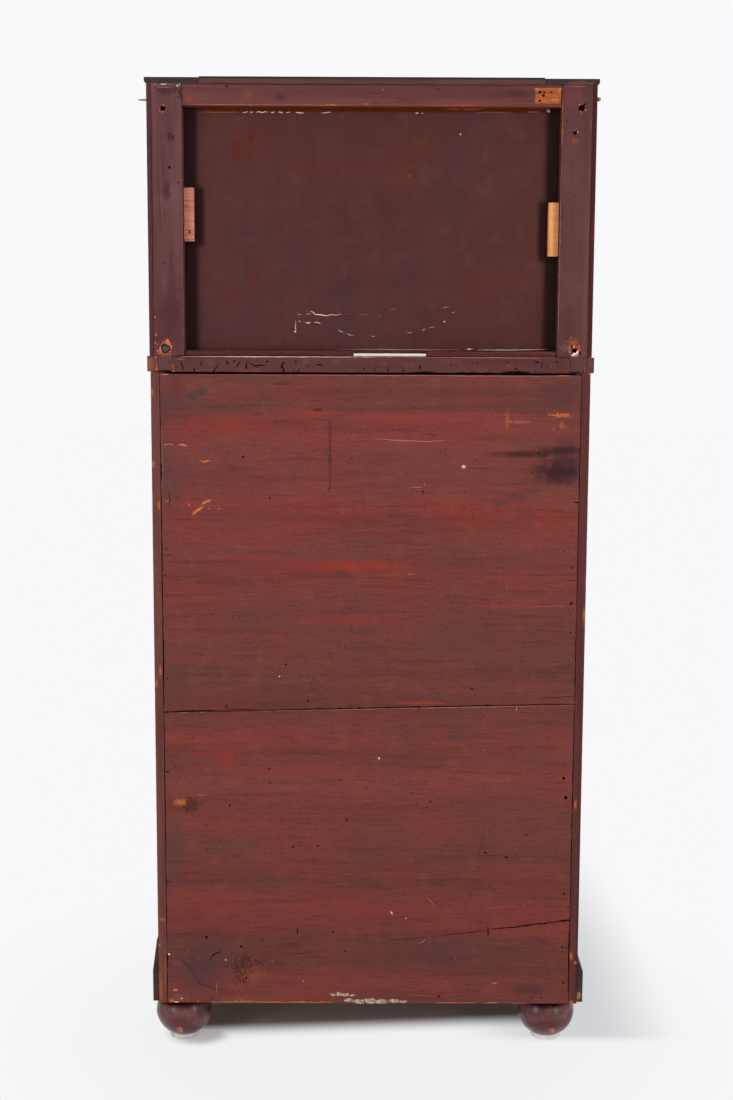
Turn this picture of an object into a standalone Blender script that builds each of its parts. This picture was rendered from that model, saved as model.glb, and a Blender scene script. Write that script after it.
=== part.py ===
"""Chiffonier: a tall chest of four drawers with a two-door cupboard standing on its top.

Lengths are in metres. The front faces -Y, the back faces +Y and +Z is up. Left and right are those
of someone who stands in front of it, so left is -X. The origin is on the floor under the middle of
the outline, with the drawer knobs counted.
"""

import math

import bmesh
import bpy
from mathutils import Matrix, Vector

# Gaps, cuts and facets that every piece shares
FIT_GAP = 0.0003
CUT_OVERRUN = 0.004
ARRIS = 0.0007
TURNED_SIDES = 24
SMALL_SIDES = 16
ROUND_STEPS = 3

# The whole piece: feet, chest, chest top, cupboard and top board stand on each other
CASE_WIDTH = 0.660
CASE_DEPTH = 0.400
CASE_HEIGHT = 0.992
CUPBOARD_HEIGHT = 0.3965
CUPBOARD_SIDE_PROUD = 0.001
CUPBOARD_SETBACK = 0.015

# Lower case: sides, bottom, dividers and back boards
SIDE_THICKNESS = 0.020
BOTTOM_THICKNESS = 0.018
DIVIDER_THICKNESS = 0.016
HOUSING_DEPTH = 0.006
BASE_RAIL_THICKNESS = 0.020
BACK_BOARD_THICKNESS = 0.012
BACK_BOARD_LAP = 0.007
BACK_TOP_SHADOW = 0.003
BACK_JOINT_LEFT = 0.561
BACK_JOINT_RIGHT = 0.546
BACK_JOINT_GAP = 0.0008

# Chest top, the board at the waist
CHEST_TOP_THICKNESS = 0.024
CHEST_TOP_SIDE_OVERHANG = 0.007
CHEST_TOP_FRONT_OVERHANG = 0.012
CHEST_TOP_ROUNDING = 0.006

# Plinth moulding round the front and the sides
PLINTH_LIFT = 0.003
PLINTH_PROUD = 0.0085
PLINTH_FLAT_HEIGHT = 0.050
PLINTH_TAPER_HEIGHT = 0.052
PLINTH_TOP_EDGE = 0.0015

# Turned bun feet
FOOT_HEIGHT = 0.077
FOOT_RADIUS = 0.045
FOOT_TOP_RADIUS = 0.037
FOOT_SHOULDER_HEIGHT = 0.052
FOOT_WIDEST_HEIGHT = 0.040
FOOT_BELLY_RADIUS = 0.040
FOOT_BELLY_HEIGHT = 0.017
FOOT_SOLE_RADIUS = 0.0225
FOOT_GLIDE_RADIUS = 0.0235
FOOT_GLIDE_HEIGHT = 0.009
FOOT_SPIGOT_RADIUS = 0.011
FOOT_SPIGOT_LENGTH = 0.012
FOOT_LEFT_INSET = 0.0425
FOOT_RIGHT_INSET = 0.0345
FOOT_DEPTH_INSET = 0.058

# Cupboard carcass
UPPER_SIDE_THICKNESS = 0.018
POST_WIDTH = 0.0455
POST_THICKNESS = 0.026
POST_LIP = 0.0065
POST_TENON_WIDTH = 0.022
POST_TENON_INSET = 0.012
POST_HOLE_RADIUS = 0.0035
POST_HOLE_DEPTH = 0.012
POST_HOLE_INSET = 0.021
POST_TOP_HOLE_DROP = 0.036
POST_LOW_HOLE_RISE = 0.011
TOP_RAIL_HEIGHT = 0.0314
RAIL_TENON_LENGTH = 0.020
RAIL_TENON_THICKNESS = 0.010
RAIL_TENON_SHOULDER = 0.006
PANEL_THICKNESS = 0.008
FRIEZE_RAIL_HEIGHT = 0.0314
FRIEZE_RAIL_DEPTH = 0.040
FRIEZE_TENON_LENGTH = 0.010
DOOR_STOP_DROP = 0.006

# Battens, shim and glue blocks behind the cupboard's back panel
BATTEN_HEIGHT = 0.008
BATTEN_DEPTH = 0.022
NOTCH_LEFT_REACH = 0.083
NOTCH_RIGHT_REACH = 0.026
SHIM_HEIGHT = 0.004
GLUE_BLOCK_WIDTH = 0.015
GLUE_BLOCK_DEPTH = 0.016
GLUE_BLOCK_LENGTH = 0.079
GLUE_BLOCK_LEFT_DROP = 0.137
GLUE_BLOCK_RIGHT_DROP = 0.117

# Side pegs that pin the posts
PEG_RADIUS = 0.0017
PEG_DEPTH = 0.032
PEG_LEFT_DROP = 0.0187
PEG_RIGHT_DROP = 0.0225
PEG_LEFT_PROUD = 0.0068
PEG_RIGHT_PROUD = 0.014
PEG_BUTTON_RADIUS = 0.0032

# Cornice frame and the top board that it surrounds
CORNICE_THICKNESS = 0.009
CORNICE_BORDER = 0.080
CORNICE_SIDE_OVERHANG = 0.003
CORNICE_FRONT_OVERHANG = 0.012
CORNICE_ROUNDING = 0.004
TOP_BOARD_THICKNESS = 0.0105

# Cupboard doors on pivots
DOOR_THICKNESS = 0.020
DOOR_END_GAP = 0.001
DOOR_HINGE_GAP = 0.0005
DOOR_MEETING_GAP = 0.0015
DOOR_FRAME_WIDTH = 0.052
DOOR_EDGE_STEPS = 12
DOOR_PANEL_TONGUE = 0.008
DOOR_PANEL_EDGE = 0.006
DOOR_PANEL_THICKNESS = 0.012
DOOR_PANEL_SLOPE = 0.030
PIVOT_RADIUS = 0.003
PIVOT_IN_DOOR = 0.014
PIVOT_IN_CASE = 0.008

# Drawers, from the top one down
DRAWER_HEIGHT_SHARES = (0.22, 0.24, 0.26, 0.28)
DRAWER_FRONT_THICKNESS = 0.020
DRAWER_SIDE_THICKNESS = 0.010
DRAWER_BACK_THICKNESS = 0.010
DRAWER_BOTTOM_THICKNESS = 0.006
DRAWER_BOTTOM_LIFT = 0.010
DRAWER_GROOVE_DEPTH = 0.005
DRAWER_SIDE_GAP = 0.001
DRAWER_TOP_GAP = 0.0015
DRAWER_BOX_DROP = 0.004
DRAWER_BACK_ROOM = 0.008

# Dovetails of the drawers
TAIL_COUNT = 3
TAIL_LAP = 0.013
TAIL_ROOT_SHARE = 0.52
TAIL_FLARE_SHARE = 0.17

# Turned drawer knobs
KNOB_RADIUS = 0.0175
KNOB_PROJECTION = 0.028
KNOB_BASE_RADIUS = 0.0125
KNOB_NECK_RADIUS = 0.0078
KNOB_NECK_REACH = 0.009
KNOB_HEAD_EDGE = 0.017
KNOB_SPIGOT_RADIUS = 0.005
KNOB_SIDE_INSET = 0.130

# Places that follow from the sizes above
BACK_Y = (CASE_DEPTH + KNOB_PROJECTION) / 2
FRONT_Y = BACK_Y - CASE_DEPTH
UPPER_FRONT_Y = FRONT_Y + CUPBOARD_SETBACK
CASE_HALF = CASE_WIDTH / 2
CASE_INNER_HALF = CASE_HALF - SIDE_THICKNESS
CASE_TOP_Z = FOOT_HEIGHT + CASE_HEIGHT
WAIST_Z = CASE_TOP_Z + CHEST_TOP_THICKNESS
BACK_FACE_Y = BACK_Y - BACK_BOARD_THICKNESS
BOTTOM_TOP_Z = FOOT_HEIGHT + BOTTOM_THICKNESS
PLINTH_TOP_Z = FOOT_HEIGHT + PLINTH_LIFT + PLINTH_FLAT_HEIGHT + PLINTH_TAPER_HEIGHT
UPPER_HALF = CASE_HALF + CUPBOARD_SIDE_PROUD
UPPER_INNER_HALF = UPPER_HALF - UPPER_SIDE_THICKNESS
UPPER_TOP_Z = WAIST_Z + CUPBOARD_HEIGHT
POST_INNER_X = UPPER_HALF - POST_LIP - POST_WIDTH
POST_FRONT_Y = BACK_Y - POST_THICKNESS
PANEL_FRONT_Y = POST_FRONT_Y - FIT_GAP - PANEL_THICKNESS
TOP_RAIL_Z = UPPER_TOP_Z - TOP_RAIL_HEIGHT
FRIEZE_RAIL_Z = UPPER_TOP_Z - FRIEZE_RAIL_HEIGHT
LEFT, RIGHT = -1, 1


def linear(red, green, blue):
    """Turn a screen colour of 0 to 255 into the linear colour that a shader takes."""
    return [((channel / 255 + 0.055) / 1.055) ** 2.4 for channel in (red, green, blue)] + [1.0]


FINISHES = {
    "polished_mahogany": (linear(104, 44, 30), 0.28, 0.0),
    "stained_pine": (linear(116, 61, 56), 0.62, 0.0),
    "ebonised": (linear(58, 44, 42), 0.38, 0.0),
    "raw_pine": (linear(196, 128, 84), 0.75, 0.0),
    "drawer_oak": (linear(176, 132, 88), 0.68, 0.0),
    "brass": (linear(176, 140, 78), 0.34, 1.0),
    "shim_wood": (linear(226, 218, 204), 0.80, 0.0),
}


def clear_scene():
    for thing in list(bpy.data.objects):
        bpy.data.objects.remove(thing, do_unlink=True)


def make_materials():
    """One Principled material for each finish."""
    made = {}
    for name, (colour, roughness, metallic) in FINISHES.items():
        material = bpy.data.materials.new(name)
        material.use_nodes = True
        shader = material.node_tree.nodes["Principled BSDF"]
        shader.inputs["Base Color"].default_value = colour
        shader.inputs["Roughness"].default_value = roughness
        shader.inputs["Metallic"].default_value = metallic
        made[name] = material
    return made


def add_box(shape, low, high):
    """Add a box between two corners to a bmesh."""
    centre = (Vector(low) + Vector(high)) / 2
    size = Vector(high) - Vector(low)
    scale = Matrix.Diagonal((*size, 1))
    bmesh.ops.create_cube(shape, size=1, matrix=Matrix.Translation(centre) @ scale)


def add_prism(shape, outline, axis, start, end):
    """Add a straight prism: an outline in the other two axes, in X, Y, Z order, drawn along one."""
    spot = "XYZ".index(axis)
    corners = []
    for point in outline:
        place = list(point)
        place.insert(spot, start)
        corners.append(shape.verts.new(place))
    face = shape.faces.new(corners)
    travel = Vector((0, 0, 0))
    travel[spot] = end - start
    moved = bmesh.ops.extrude_face_region(shape, geom=[face], use_keep_orig=True)["geom"]
    far_corners = [part for part in moved if isinstance(part, bmesh.types.BMVert)]
    bmesh.ops.translate(shape, vec=travel, verts=far_corners)
    bmesh.ops.recalc_face_normals(shape, faces=shape.faces)


def add_rod(shape, start, end, radius, sides=SMALL_SIDES):
    """Add a round rod between two points."""
    start, end = Vector(start), Vector(end)
    turn = Vector((0, 0, 1)).rotation_difference(end - start).to_matrix().to_4x4()
    place = Matrix.Translation((start + end) / 2) @ turn
    bmesh.ops.create_cone(
        shape, cap_ends=True, segments=sides, radius1=radius, radius2=radius,
        depth=(end - start).length, matrix=place,
    )


def add_turning(shape, profile, sides):
    """Spin a profile of (radius, height) points about Z; it starts and ends on the axis."""
    points = [shape.verts.new((radius, 0, height)) for radius, height in profile]
    edges = [shape.edges.new(pair) for pair in zip(points, points[1:])]
    bmesh.ops.spin(
        shape, geom=points + edges, cent=(0, 0, 0), axis=(0, 0, 1),
        angle=math.tau, steps=sides, use_merge=True,
    )
    bmesh.ops.remove_doubles(shape, verts=shape.verts, dist=FIT_GAP / 100)
    bmesh.ops.recalc_face_normals(shape, faces=shape.faces)


def arc(centre, radius, first, last, steps):
    """Points of an arc, in degrees, both ends counted."""
    angles = [math.radians(first + (last - first) * step / steps) for step in range(steps + 1)]
    return [(centre[0] + radius * math.cos(a), centre[1] + radius * math.sin(a)) for a in angles]


def round_edges(shape, wanted, radius):
    """Round the edges whose middle point passes a test."""
    edges = [edge for edge in shape.edges if wanted((edge.verts[0].co + edge.verts[1].co) / 2)]
    bmesh.ops.bevel(
        shape, geom=edges, offset=radius, segments=ROUND_STEPS, profile=0.5, affect="EDGES",
        clamp_overlap=True,
    )


def put(name, shape, material=None, home=None, parent=None, arris=None, turn=None):
    """Make an object of a bmesh drawn in world places, with its origin at home."""
    mesh = bpy.data.meshes.new(name)
    origin = Vector(home) if home is not None else middle(shape)
    if turn is None:
        bmesh.ops.translate(shape, vec=-origin, verts=shape.verts)
    shape.to_mesh(mesh)
    shape.free()
    thing = bpy.data.objects.new(name, mesh)
    bpy.context.scene.collection.objects.link(thing)
    thing.location = origin - (parent.location if parent else Vector((0, 0, 0)))
    if turn is not None:
        thing.rotation_euler = turn
    thing.parent = parent
    if material:
        mesh.materials.append(MATERIALS[material])
    if arris:
        bevel = thing.modifiers.new("worn_arris", "BEVEL")
        bevel.width = arris
        bevel.segments = 1
        bevel.limit_method = "ANGLE"
    return thing


def middle(shape):
    """The middle of a bmesh's box."""
    places = [vert.co for vert in shape.verts]
    low = Vector([min(place[i] for place in places) for i in range(3)])
    high = Vector([max(place[i] for place in places) for i in range(3)])
    return (low + high) / 2


def shade_round(thing):
    """Shade a turned piece smooth, with its sharp edges kept."""
    thing.data.shade_smooth()
    thing.data.set_sharp_from_angle(angle=math.radians(40))


def board(name, low, high, material, parent=None, arris=ARRIS):
    """A plain board between two corners, with its arrises taken off."""
    shape = bmesh.new()
    add_box(shape, low, high)
    return put(name, shape, material, parent=parent, arris=arris)


def combine(thing, shape, operation):
    """Cut a bmesh out of an object, or join it on, with an exact Boolean."""
    tool = put(f"{thing.name}_{operation.lower()}_{len(thing.modifiers)}", shape)
    tool.hide_render = True
    tool.display_type = "WIRE"
    modifier = thing.modifiers.new(operation.lower(), "BOOLEAN")
    modifier.operation = operation
    modifier.solver = "EXACT"
    modifier.object = tool


def cut(thing, shape):
    combine(thing, shape, "DIFFERENCE")


def join(thing, shape):
    combine(thing, shape, "UNION")


def sided(side, near, far):
    """An X span on one side of the middle, in rising order."""
    return sorted((side * near, side * far))


def add_sided_box(shape, side, near, far, y_span, z_span):
    """Add a box that lies between two distances from the middle, left or right."""
    low_x, high_x = sided(side, near, far)
    add_box(shape, (low_x, y_span[0], z_span[0]), (high_x, y_span[1], z_span[1]))


def divider_levels():
    """Underside and top of each divider, and the openings between them, from the top down."""
    floor = PLINTH_TOP_Z + FIT_GAP
    room = CASE_TOP_Z - floor - DIVIDER_THICKNESS * len(DRAWER_HEIGHT_SHARES)
    dividers, openings = [], []
    top = CASE_TOP_Z
    for share in DRAWER_HEIGHT_SHARES:
        foot = top - room * share / sum(DRAWER_HEIGHT_SHARES)
        openings.append((foot, top))
        dividers.append((foot - DIVIDER_THICKNESS, foot))
        top = foot - DIVIDER_THICKNESS
    return dividers, openings


def case_side(side, name):
    """Side board, rebated for the back boards and the bottom and housed for the dividers."""
    shape = bmesh.new()
    add_sided_box(
        shape, side, CASE_INNER_HALF, CASE_HALF, (FRONT_Y, BACK_Y), (FOOT_HEIGHT, CASE_TOP_Z - FIT_GAP)
    )
    thing = put(name, shape, "polished_mahogany", arris=ARRIS)
    cuts = bmesh.new()
    inside = CASE_INNER_HALF - CUT_OVERRUN
    add_sided_box(
        cuts, side, inside, CASE_INNER_HALF + BACK_BOARD_LAP,
        (BACK_FACE_Y - FIT_GAP, BACK_Y + CUT_OVERRUN),
        (FOOT_HEIGHT - CUT_OVERRUN, CASE_TOP_Z + CUT_OVERRUN),
    )
    cut(thing, cuts)
    housings = bmesh.new()
    housing_x = CASE_INNER_HALF + HOUSING_DEPTH
    across = (FRONT_Y - CUT_OVERRUN, BACK_FACE_Y + FIT_GAP)
    add_sided_box(housings, side, inside, housing_x, across, (FOOT_HEIGHT - CUT_OVERRUN, BOTTOM_TOP_Z))
    for low, high in divider_levels()[0]:
        add_sided_box(housings, side, inside, housing_x, across, (low, high))
    cut(thing, housings)
    return thing


def housed_board(name, low_z, high_z, front_y):
    """A board across the case, with its ends in the sides' housings."""
    half = CASE_INNER_HALF + HOUSING_DEPTH - FIT_GAP
    back_y = BACK_FACE_Y - FIT_GAP
    return board(name, (-half, front_y, low_z), (half, back_y, high_z), "drawer_oak")


def case_bottom():
    """Bottom board, bored for the spigots of the feet."""
    thing = housed_board("case_bottom", FOOT_HEIGHT, BOTTOM_TOP_Z - FIT_GAP, FRONT_Y)
    holes = bmesh.new()
    for x, y in foot_places().values():
        start = (x, y, FOOT_HEIGHT - CUT_OVERRUN)
        end = (x, y, FOOT_HEIGHT + FOOT_SPIGOT_LENGTH + FIT_GAP)
        add_rod(holes, start, end, FOOT_SPIGOT_RADIUS + FIT_GAP, TURNED_SIDES)
    cut(thing, holes)


def dividers():
    """Dust boards: each carries the drawer above it."""
    for number, (low, high) in enumerate(divider_levels()[0], 1):
        housed_board(f"divider_{number}", low + FIT_GAP, high - FIT_GAP, FRONT_Y)


def base_rail():
    """Front rail that stands on the bottom board behind the plinth."""
    half = CASE_INNER_HALF - FIT_GAP
    top_z = divider_levels()[0][-1][0]
    low = (-half, FRONT_Y, BOTTOM_TOP_Z)
    high = (half, FRONT_Y + BASE_RAIL_THICKNESS, top_z)
    board("base_rail", low, high, "polished_mahogany")


def back_boards():
    """Two wide boards in the sides' rebates; the joint between them is not level."""
    half = CASE_INNER_HALF + BACK_BOARD_LAP - FIT_GAP
    low_z = FOOT_HEIGHT
    high_z = CASE_TOP_Z - BACK_TOP_SHADOW
    spans = {
        "back_board_lower": [
            (-half, low_z), (half, low_z), (half, BACK_JOINT_RIGHT), (-half, BACK_JOINT_LEFT),
        ],
        "back_board_upper": [
            (-half, BACK_JOINT_LEFT + BACK_JOINT_GAP), (half, BACK_JOINT_RIGHT + BACK_JOINT_GAP),
            (half, high_z), (-half, high_z),
        ],
    }
    for name, outline in spans.items():
        shape = bmesh.new()
        add_prism(shape, outline, "Y", BACK_FACE_Y, BACK_Y)
        put(name, shape, "stained_pine", arris=ARRIS)


def chest_top():
    """Top board of the chest, notched for the post tenons and bored for the door pivots."""
    half = CASE_HALF + CHEST_TOP_SIDE_OVERHANG
    front = FRONT_Y - CHEST_TOP_FRONT_OVERHANG
    shape = bmesh.new()
    add_box(shape, (-half, front, CASE_TOP_Z), (half, BACK_Y, WAIST_Z))
    level = (CASE_TOP_Z + WAIST_Z) / 2

    def on_show(place):
        outer = abs(place.x) > half - FIT_GAP or place.y < front + FIT_GAP
        return outer and abs(place.z - level) > FIT_GAP

    round_edges(shape, on_show, CHEST_TOP_ROUNDING)
    thing = put("chest_top", shape, "polished_mahogany")
    notches = bmesh.new()
    outer = UPPER_HALF - POST_TENON_INSET + FIT_GAP
    inner = UPPER_HALF - POST_TENON_INSET - POST_TENON_WIDTH - FIT_GAP
    for side in (LEFT, RIGHT):
        add_sided_box(
            notches, side, inner, outer, (POST_FRONT_Y - FIT_GAP, BACK_Y + CUT_OVERRUN),
            (CASE_TOP_Z - CUT_OVERRUN, WAIST_Z + CUT_OVERRUN),
        )
    cut(thing, notches)
    cut(thing, pivot_holes(WAIST_Z, -1))


def plinth():
    """Plinth moulding in one U: flat below, tapered above, mitred round the two front corners."""
    foot_z = FOOT_HEIGHT + PLINTH_LIFT
    flat_z = foot_z + PLINTH_FLAT_HEIGHT
    inner_half = CASE_HALF + FIT_GAP
    inner_front = FRONT_Y - FIT_GAP
    section = [
        (0, foot_z), (PLINTH_PROUD, foot_z), (PLINTH_PROUD, flat_z),
        (PLINTH_TOP_EDGE, PLINTH_TOP_Z), (0, PLINTH_TOP_Z),
    ]
    shape = bmesh.new()
    rings = []
    for corner_x, corner_y, out_x, out_y in (
        (-inner_half, BACK_Y, -1, 0), (-inner_half, inner_front, -1, -1),
        (inner_half, inner_front, 1, -1), (inner_half, BACK_Y, 1, 0),
    ):
        ring = [shape.verts.new((corner_x + out_x * out, corner_y + out_y * out, z)) for out, z in section]
        rings.append(ring)
    count = len(section)
    for ring, following in zip(rings, rings[1:]):
        for spot in range(count):
            after = (spot + 1) % count
            shape.faces.new((ring[spot], ring[after], following[after], following[spot]))
    shape.faces.new(rings[0])
    shape.faces.new(rings[-1])
    bmesh.ops.recalc_face_normals(shape, faces=shape.faces)
    put("plinth", shape, "ebonised", arris=ARRIS)


def foot_places():
    """Centres of the four feet."""
    left = FOOT_LEFT_INSET - CASE_HALF
    right = CASE_HALF - FOOT_RIGHT_INSET
    back = BACK_Y - FOOT_DEPTH_INSET
    front = FRONT_Y + FOOT_DEPTH_INSET
    return {
        "front_left": (left, front), "front_right": (right, front),
        "back_left": (left, back), "back_right": (right, back),
    }


def feet():
    """Turned bun feet, each with a glide under it and a spigot into the bottom board."""
    top_z = FOOT_HEIGHT - FIT_GAP
    spigot_z = FOOT_HEIGHT + FOOT_SPIGOT_LENGTH - FIT_GAP
    sole_z = FOOT_GLIDE_HEIGHT
    belly = (FOOT_BELLY_RADIUS, FOOT_BELLY_HEIGHT)
    lower = ((FOOT_SOLE_RADIUS, sole_z), belly, (FOOT_RADIUS, FOOT_WIDEST_HEIGHT))
    upper = (
        (FOOT_RADIUS, FOOT_SHOULDER_HEIGHT), (FOOT_RADIUS, top_z), (FOOT_TOP_RADIUS, top_z),
    )
    profile = [(0, 0), (FOOT_GLIDE_RADIUS, 0), (FOOT_GLIDE_RADIUS, FOOT_GLIDE_HEIGHT)]
    profile += bow(*lower, 7) + bow(*upper, 5)
    profile += [(FOOT_SPIGOT_RADIUS, top_z), (FOOT_SPIGOT_RADIUS, spigot_z), (0, spigot_z)]
    for name, (x, y) in foot_places().items():
        shape = bmesh.new()
        add_turning(shape, profile, TURNED_SIDES)
        bmesh.ops.translate(shape, vec=(x, y, 0), verts=shape.verts)
        shade_round(put(f"foot_{name}", shape, "polished_mahogany", home=(x, y, 0)))


def bow(start, pull, end, steps):
    """Points of a curve from start to end that leans towards a pull point."""
    points = []
    for step in range(steps + 1):
        share = step / steps
        rest = 1 - share
        points.append(tuple(
            rest * rest * a + 2 * rest * share * b + share * share * c
            for a, b, c in zip(start, pull, end)
        ))
    return points


def upper_side(side, name):
    """Cupboard side, rebated behind for the post, mortised for the frieze rail and bored."""
    shape = bmesh.new()
    add_sided_box(
        shape, side, UPPER_INNER_HALF, UPPER_HALF, (UPPER_FRONT_Y, BACK_Y),
        (WAIST_Z + FIT_GAP, UPPER_TOP_Z - FIT_GAP),
    )
    thing = put(name, shape, "polished_mahogany", arris=ARRIS)
    rebate = bmesh.new()
    add_sided_box(
        rebate, side, UPPER_INNER_HALF - CUT_OVERRUN, UPPER_HALF - POST_LIP + FIT_GAP,
        (POST_FRONT_Y - FIT_GAP, BACK_Y + CUT_OVERRUN),
        (WAIST_Z - CUT_OVERRUN, UPPER_TOP_Z + CUT_OVERRUN),
    )
    cut(thing, rebate)
    mortise = bmesh.new()
    low_y, high_y, low_z, high_z = frieze_tenon_section(FIT_GAP)
    add_sided_box(
        mortise, side, UPPER_INNER_HALF - CUT_OVERRUN, UPPER_INNER_HALF + FRIEZE_TENON_LENGTH,
        (low_y, high_y), (low_z, high_z),
    )
    cut(thing, mortise)
    cut(thing, peg_bore(side))
    return thing


def frieze_tenon_section(growth):
    """Y and Z spans of the frieze rail's stub tenons, grown by a gap."""
    low_y = UPPER_FRONT_Y + RAIL_TENON_SHOULDER
    high_y = UPPER_FRONT_Y + FRIEZE_RAIL_DEPTH - RAIL_TENON_SHOULDER
    low_z = FRIEZE_RAIL_Z + RAIL_TENON_SHOULDER
    high_z = UPPER_TOP_Z - RAIL_TENON_SHOULDER
    return low_y - growth, high_y + growth, low_z - growth, high_z + growth


def frieze_rail():
    """Front rail over the doors: the part behind them hangs lower and stops them."""
    back_y = UPPER_FRONT_Y + FRIEZE_RAIL_DEPTH
    stop_y = UPPER_FRONT_Y + DOOR_THICKNESS + DOOR_HINGE_GAP
    top_z = UPPER_TOP_Z - FIT_GAP
    stop_z = FRIEZE_RAIL_Z - DOOR_STOP_DROP
    outline = [
        (UPPER_FRONT_Y, FRIEZE_RAIL_Z), (stop_y, FRIEZE_RAIL_Z), (stop_y, stop_z),
        (back_y, stop_z), (back_y, top_z), (UPPER_FRONT_Y, top_z),
    ]
    half = UPPER_INNER_HALF - FIT_GAP
    shape = bmesh.new()
    add_prism(shape, outline, "X", -half, half)
    thing = put("frieze_rail", shape, "polished_mahogany")
    tenons = bmesh.new()
    low_y, high_y, low_z, high_z = frieze_tenon_section(0)
    reach = UPPER_INNER_HALF + FRIEZE_TENON_LENGTH - FIT_GAP
    add_box(tenons, (-reach, low_y, low_z), (reach, high_y, high_z))
    join(thing, tenons)
    cut(thing, pivot_holes(FRIEZE_RAIL_Z, 1))


def post(side, name):
    """Back post, tenoned down through the chest top, mortised for the rail and bored."""
    shape = bmesh.new()
    add_sided_box(
        shape, side, POST_INNER_X, UPPER_HALF - POST_LIP, (POST_FRONT_Y, BACK_Y),
        (WAIST_Z + FIT_GAP, UPPER_TOP_Z - FIT_GAP),
    )
    thing = put(name, shape, "stained_pine", arris=ARRIS)
    tenon = bmesh.new()
    tenon_outer = UPPER_HALF - POST_TENON_INSET
    add_sided_box(
        tenon, side, tenon_outer - POST_TENON_WIDTH, tenon_outer, (POST_FRONT_Y + ARRIS, BACK_Y - ARRIS),
        (CASE_TOP_Z + FIT_GAP, WAIST_Z + POST_TENON_WIDTH),
    )
    join(thing, tenon)
    mortise = bmesh.new()
    low_y, high_y, low_z, high_z = rail_tenon_section(FIT_GAP)
    add_sided_box(
        mortise, side, POST_INNER_X - CUT_OVERRUN, POST_INNER_X + RAIL_TENON_LENGTH,
        (low_y, high_y), (low_z, high_z),
    )
    cut(thing, mortise)
    holes = bmesh.new()
    hole_x = side * (UPPER_HALF - POST_HOLE_INSET)
    for z in (UPPER_TOP_Z - POST_TOP_HOLE_DROP, WAIST_Z + POST_LOW_HOLE_RISE):
        end = (hole_x, BACK_Y + CUT_OVERRUN, z)
        add_rod(holes, (hole_x, BACK_Y - POST_HOLE_DEPTH, z), end, POST_HOLE_RADIUS)
    cut(thing, holes)
    cut(thing, peg_bore(side))
    return thing


def rail_tenon_section(growth):
    """Y and Z spans of the top rail's stub tenons, grown by a gap."""
    centre = BACK_Y - POST_THICKNESS / 2
    half = RAIL_TENON_THICKNESS / 2 + growth
    low_z = TOP_RAIL_Z + RAIL_TENON_SHOULDER - growth
    high_z = UPPER_TOP_Z - RAIL_TENON_SHOULDER + growth
    return centre - half, centre + half, low_z, high_z


def top_rail():
    """Rear rail under the top, stub-tenoned into both posts."""
    half = POST_INNER_X - FIT_GAP
    low = (-half, POST_FRONT_Y, TOP_RAIL_Z)
    thing = board("top_rail", low, (half, BACK_Y, UPPER_TOP_Z - FIT_GAP), "stained_pine")
    tenons = bmesh.new()
    low_y, high_y, low_z, high_z = rail_tenon_section(0)
    reach = POST_INNER_X + RAIL_TENON_LENGTH - FIT_GAP
    add_box(tenons, (-reach, low_y, low_z), (reach, high_y, high_z))
    join(thing, tenons)


def back_panel():
    """Smooth panel between the cupboard sides, against the front of the posts and the rail."""
    half = UPPER_INNER_HALF - FIT_GAP
    low = (-half, PANEL_FRONT_Y, WAIST_Z + FIT_GAP)
    high = (half, POST_FRONT_Y - FIT_GAP, UPPER_TOP_Z - FIT_GAP)
    board("back_panel", low, high, "stained_pine")


def battens():
    """Two battens on the chest top behind the panel, with a notch between them, and its shim."""
    rear_y = POST_FRONT_Y + BATTEN_DEPTH
    low_z = WAIST_Z + FIT_GAP
    high_z = WAIST_Z + BATTEN_HEIGHT
    end = POST_INNER_X - FIT_GAP
    spans = {
        "batten_left": (-end, -NOTCH_LEFT_REACH, high_z, "stained_pine"),
        "batten_right": (NOTCH_RIGHT_REACH, end, high_z, "stained_pine"),
        "shim": (
            FIT_GAP - NOTCH_LEFT_REACH, NOTCH_RIGHT_REACH - FIT_GAP, low_z + SHIM_HEIGHT, "shim_wood",
        ),
    }
    for name, (low_x, high_x, top_z, material) in spans.items():
        board(name, (low_x, POST_FRONT_Y, low_z), (high_x, rear_y, top_z), material)


def glue_blocks():
    """Rubbed blocks of raw pine in the angles between the posts and the panel."""
    for name, side, drop in (
        ("glue_block_left", LEFT, GLUE_BLOCK_LEFT_DROP), ("glue_block_right", RIGHT, GLUE_BLOCK_RIGHT_DROP),
    ):
        shape = bmesh.new()
        top_z = TOP_RAIL_Z - drop
        outer = POST_INNER_X - FIT_GAP
        add_sided_box(
            shape, side, outer - GLUE_BLOCK_WIDTH, outer,
            (POST_FRONT_Y, POST_FRONT_Y + GLUE_BLOCK_DEPTH), (top_z - GLUE_BLOCK_LENGTH, top_z),
        )
        put(name, shape, "raw_pine", arris=ARRIS)


def peg_axis(side):
    """Y and Z of a peg's axis."""
    drop = PEG_LEFT_DROP if side == LEFT else PEG_RIGHT_DROP
    return BACK_Y - POST_THICKNESS / 2, UPPER_TOP_Z - drop


def peg_bore(side):
    """Cutter for the peg through the cupboard side and into the post."""
    y, z = peg_axis(side)
    shape = bmesh.new()
    start = (side * (UPPER_HALF - PEG_DEPTH - FIT_GAP), y, z)
    end = (side * (UPPER_HALF + CUT_OVERRUN), y, z)
    add_rod(shape, start, end, PEG_RADIUS + FIT_GAP)
    return shape


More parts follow.
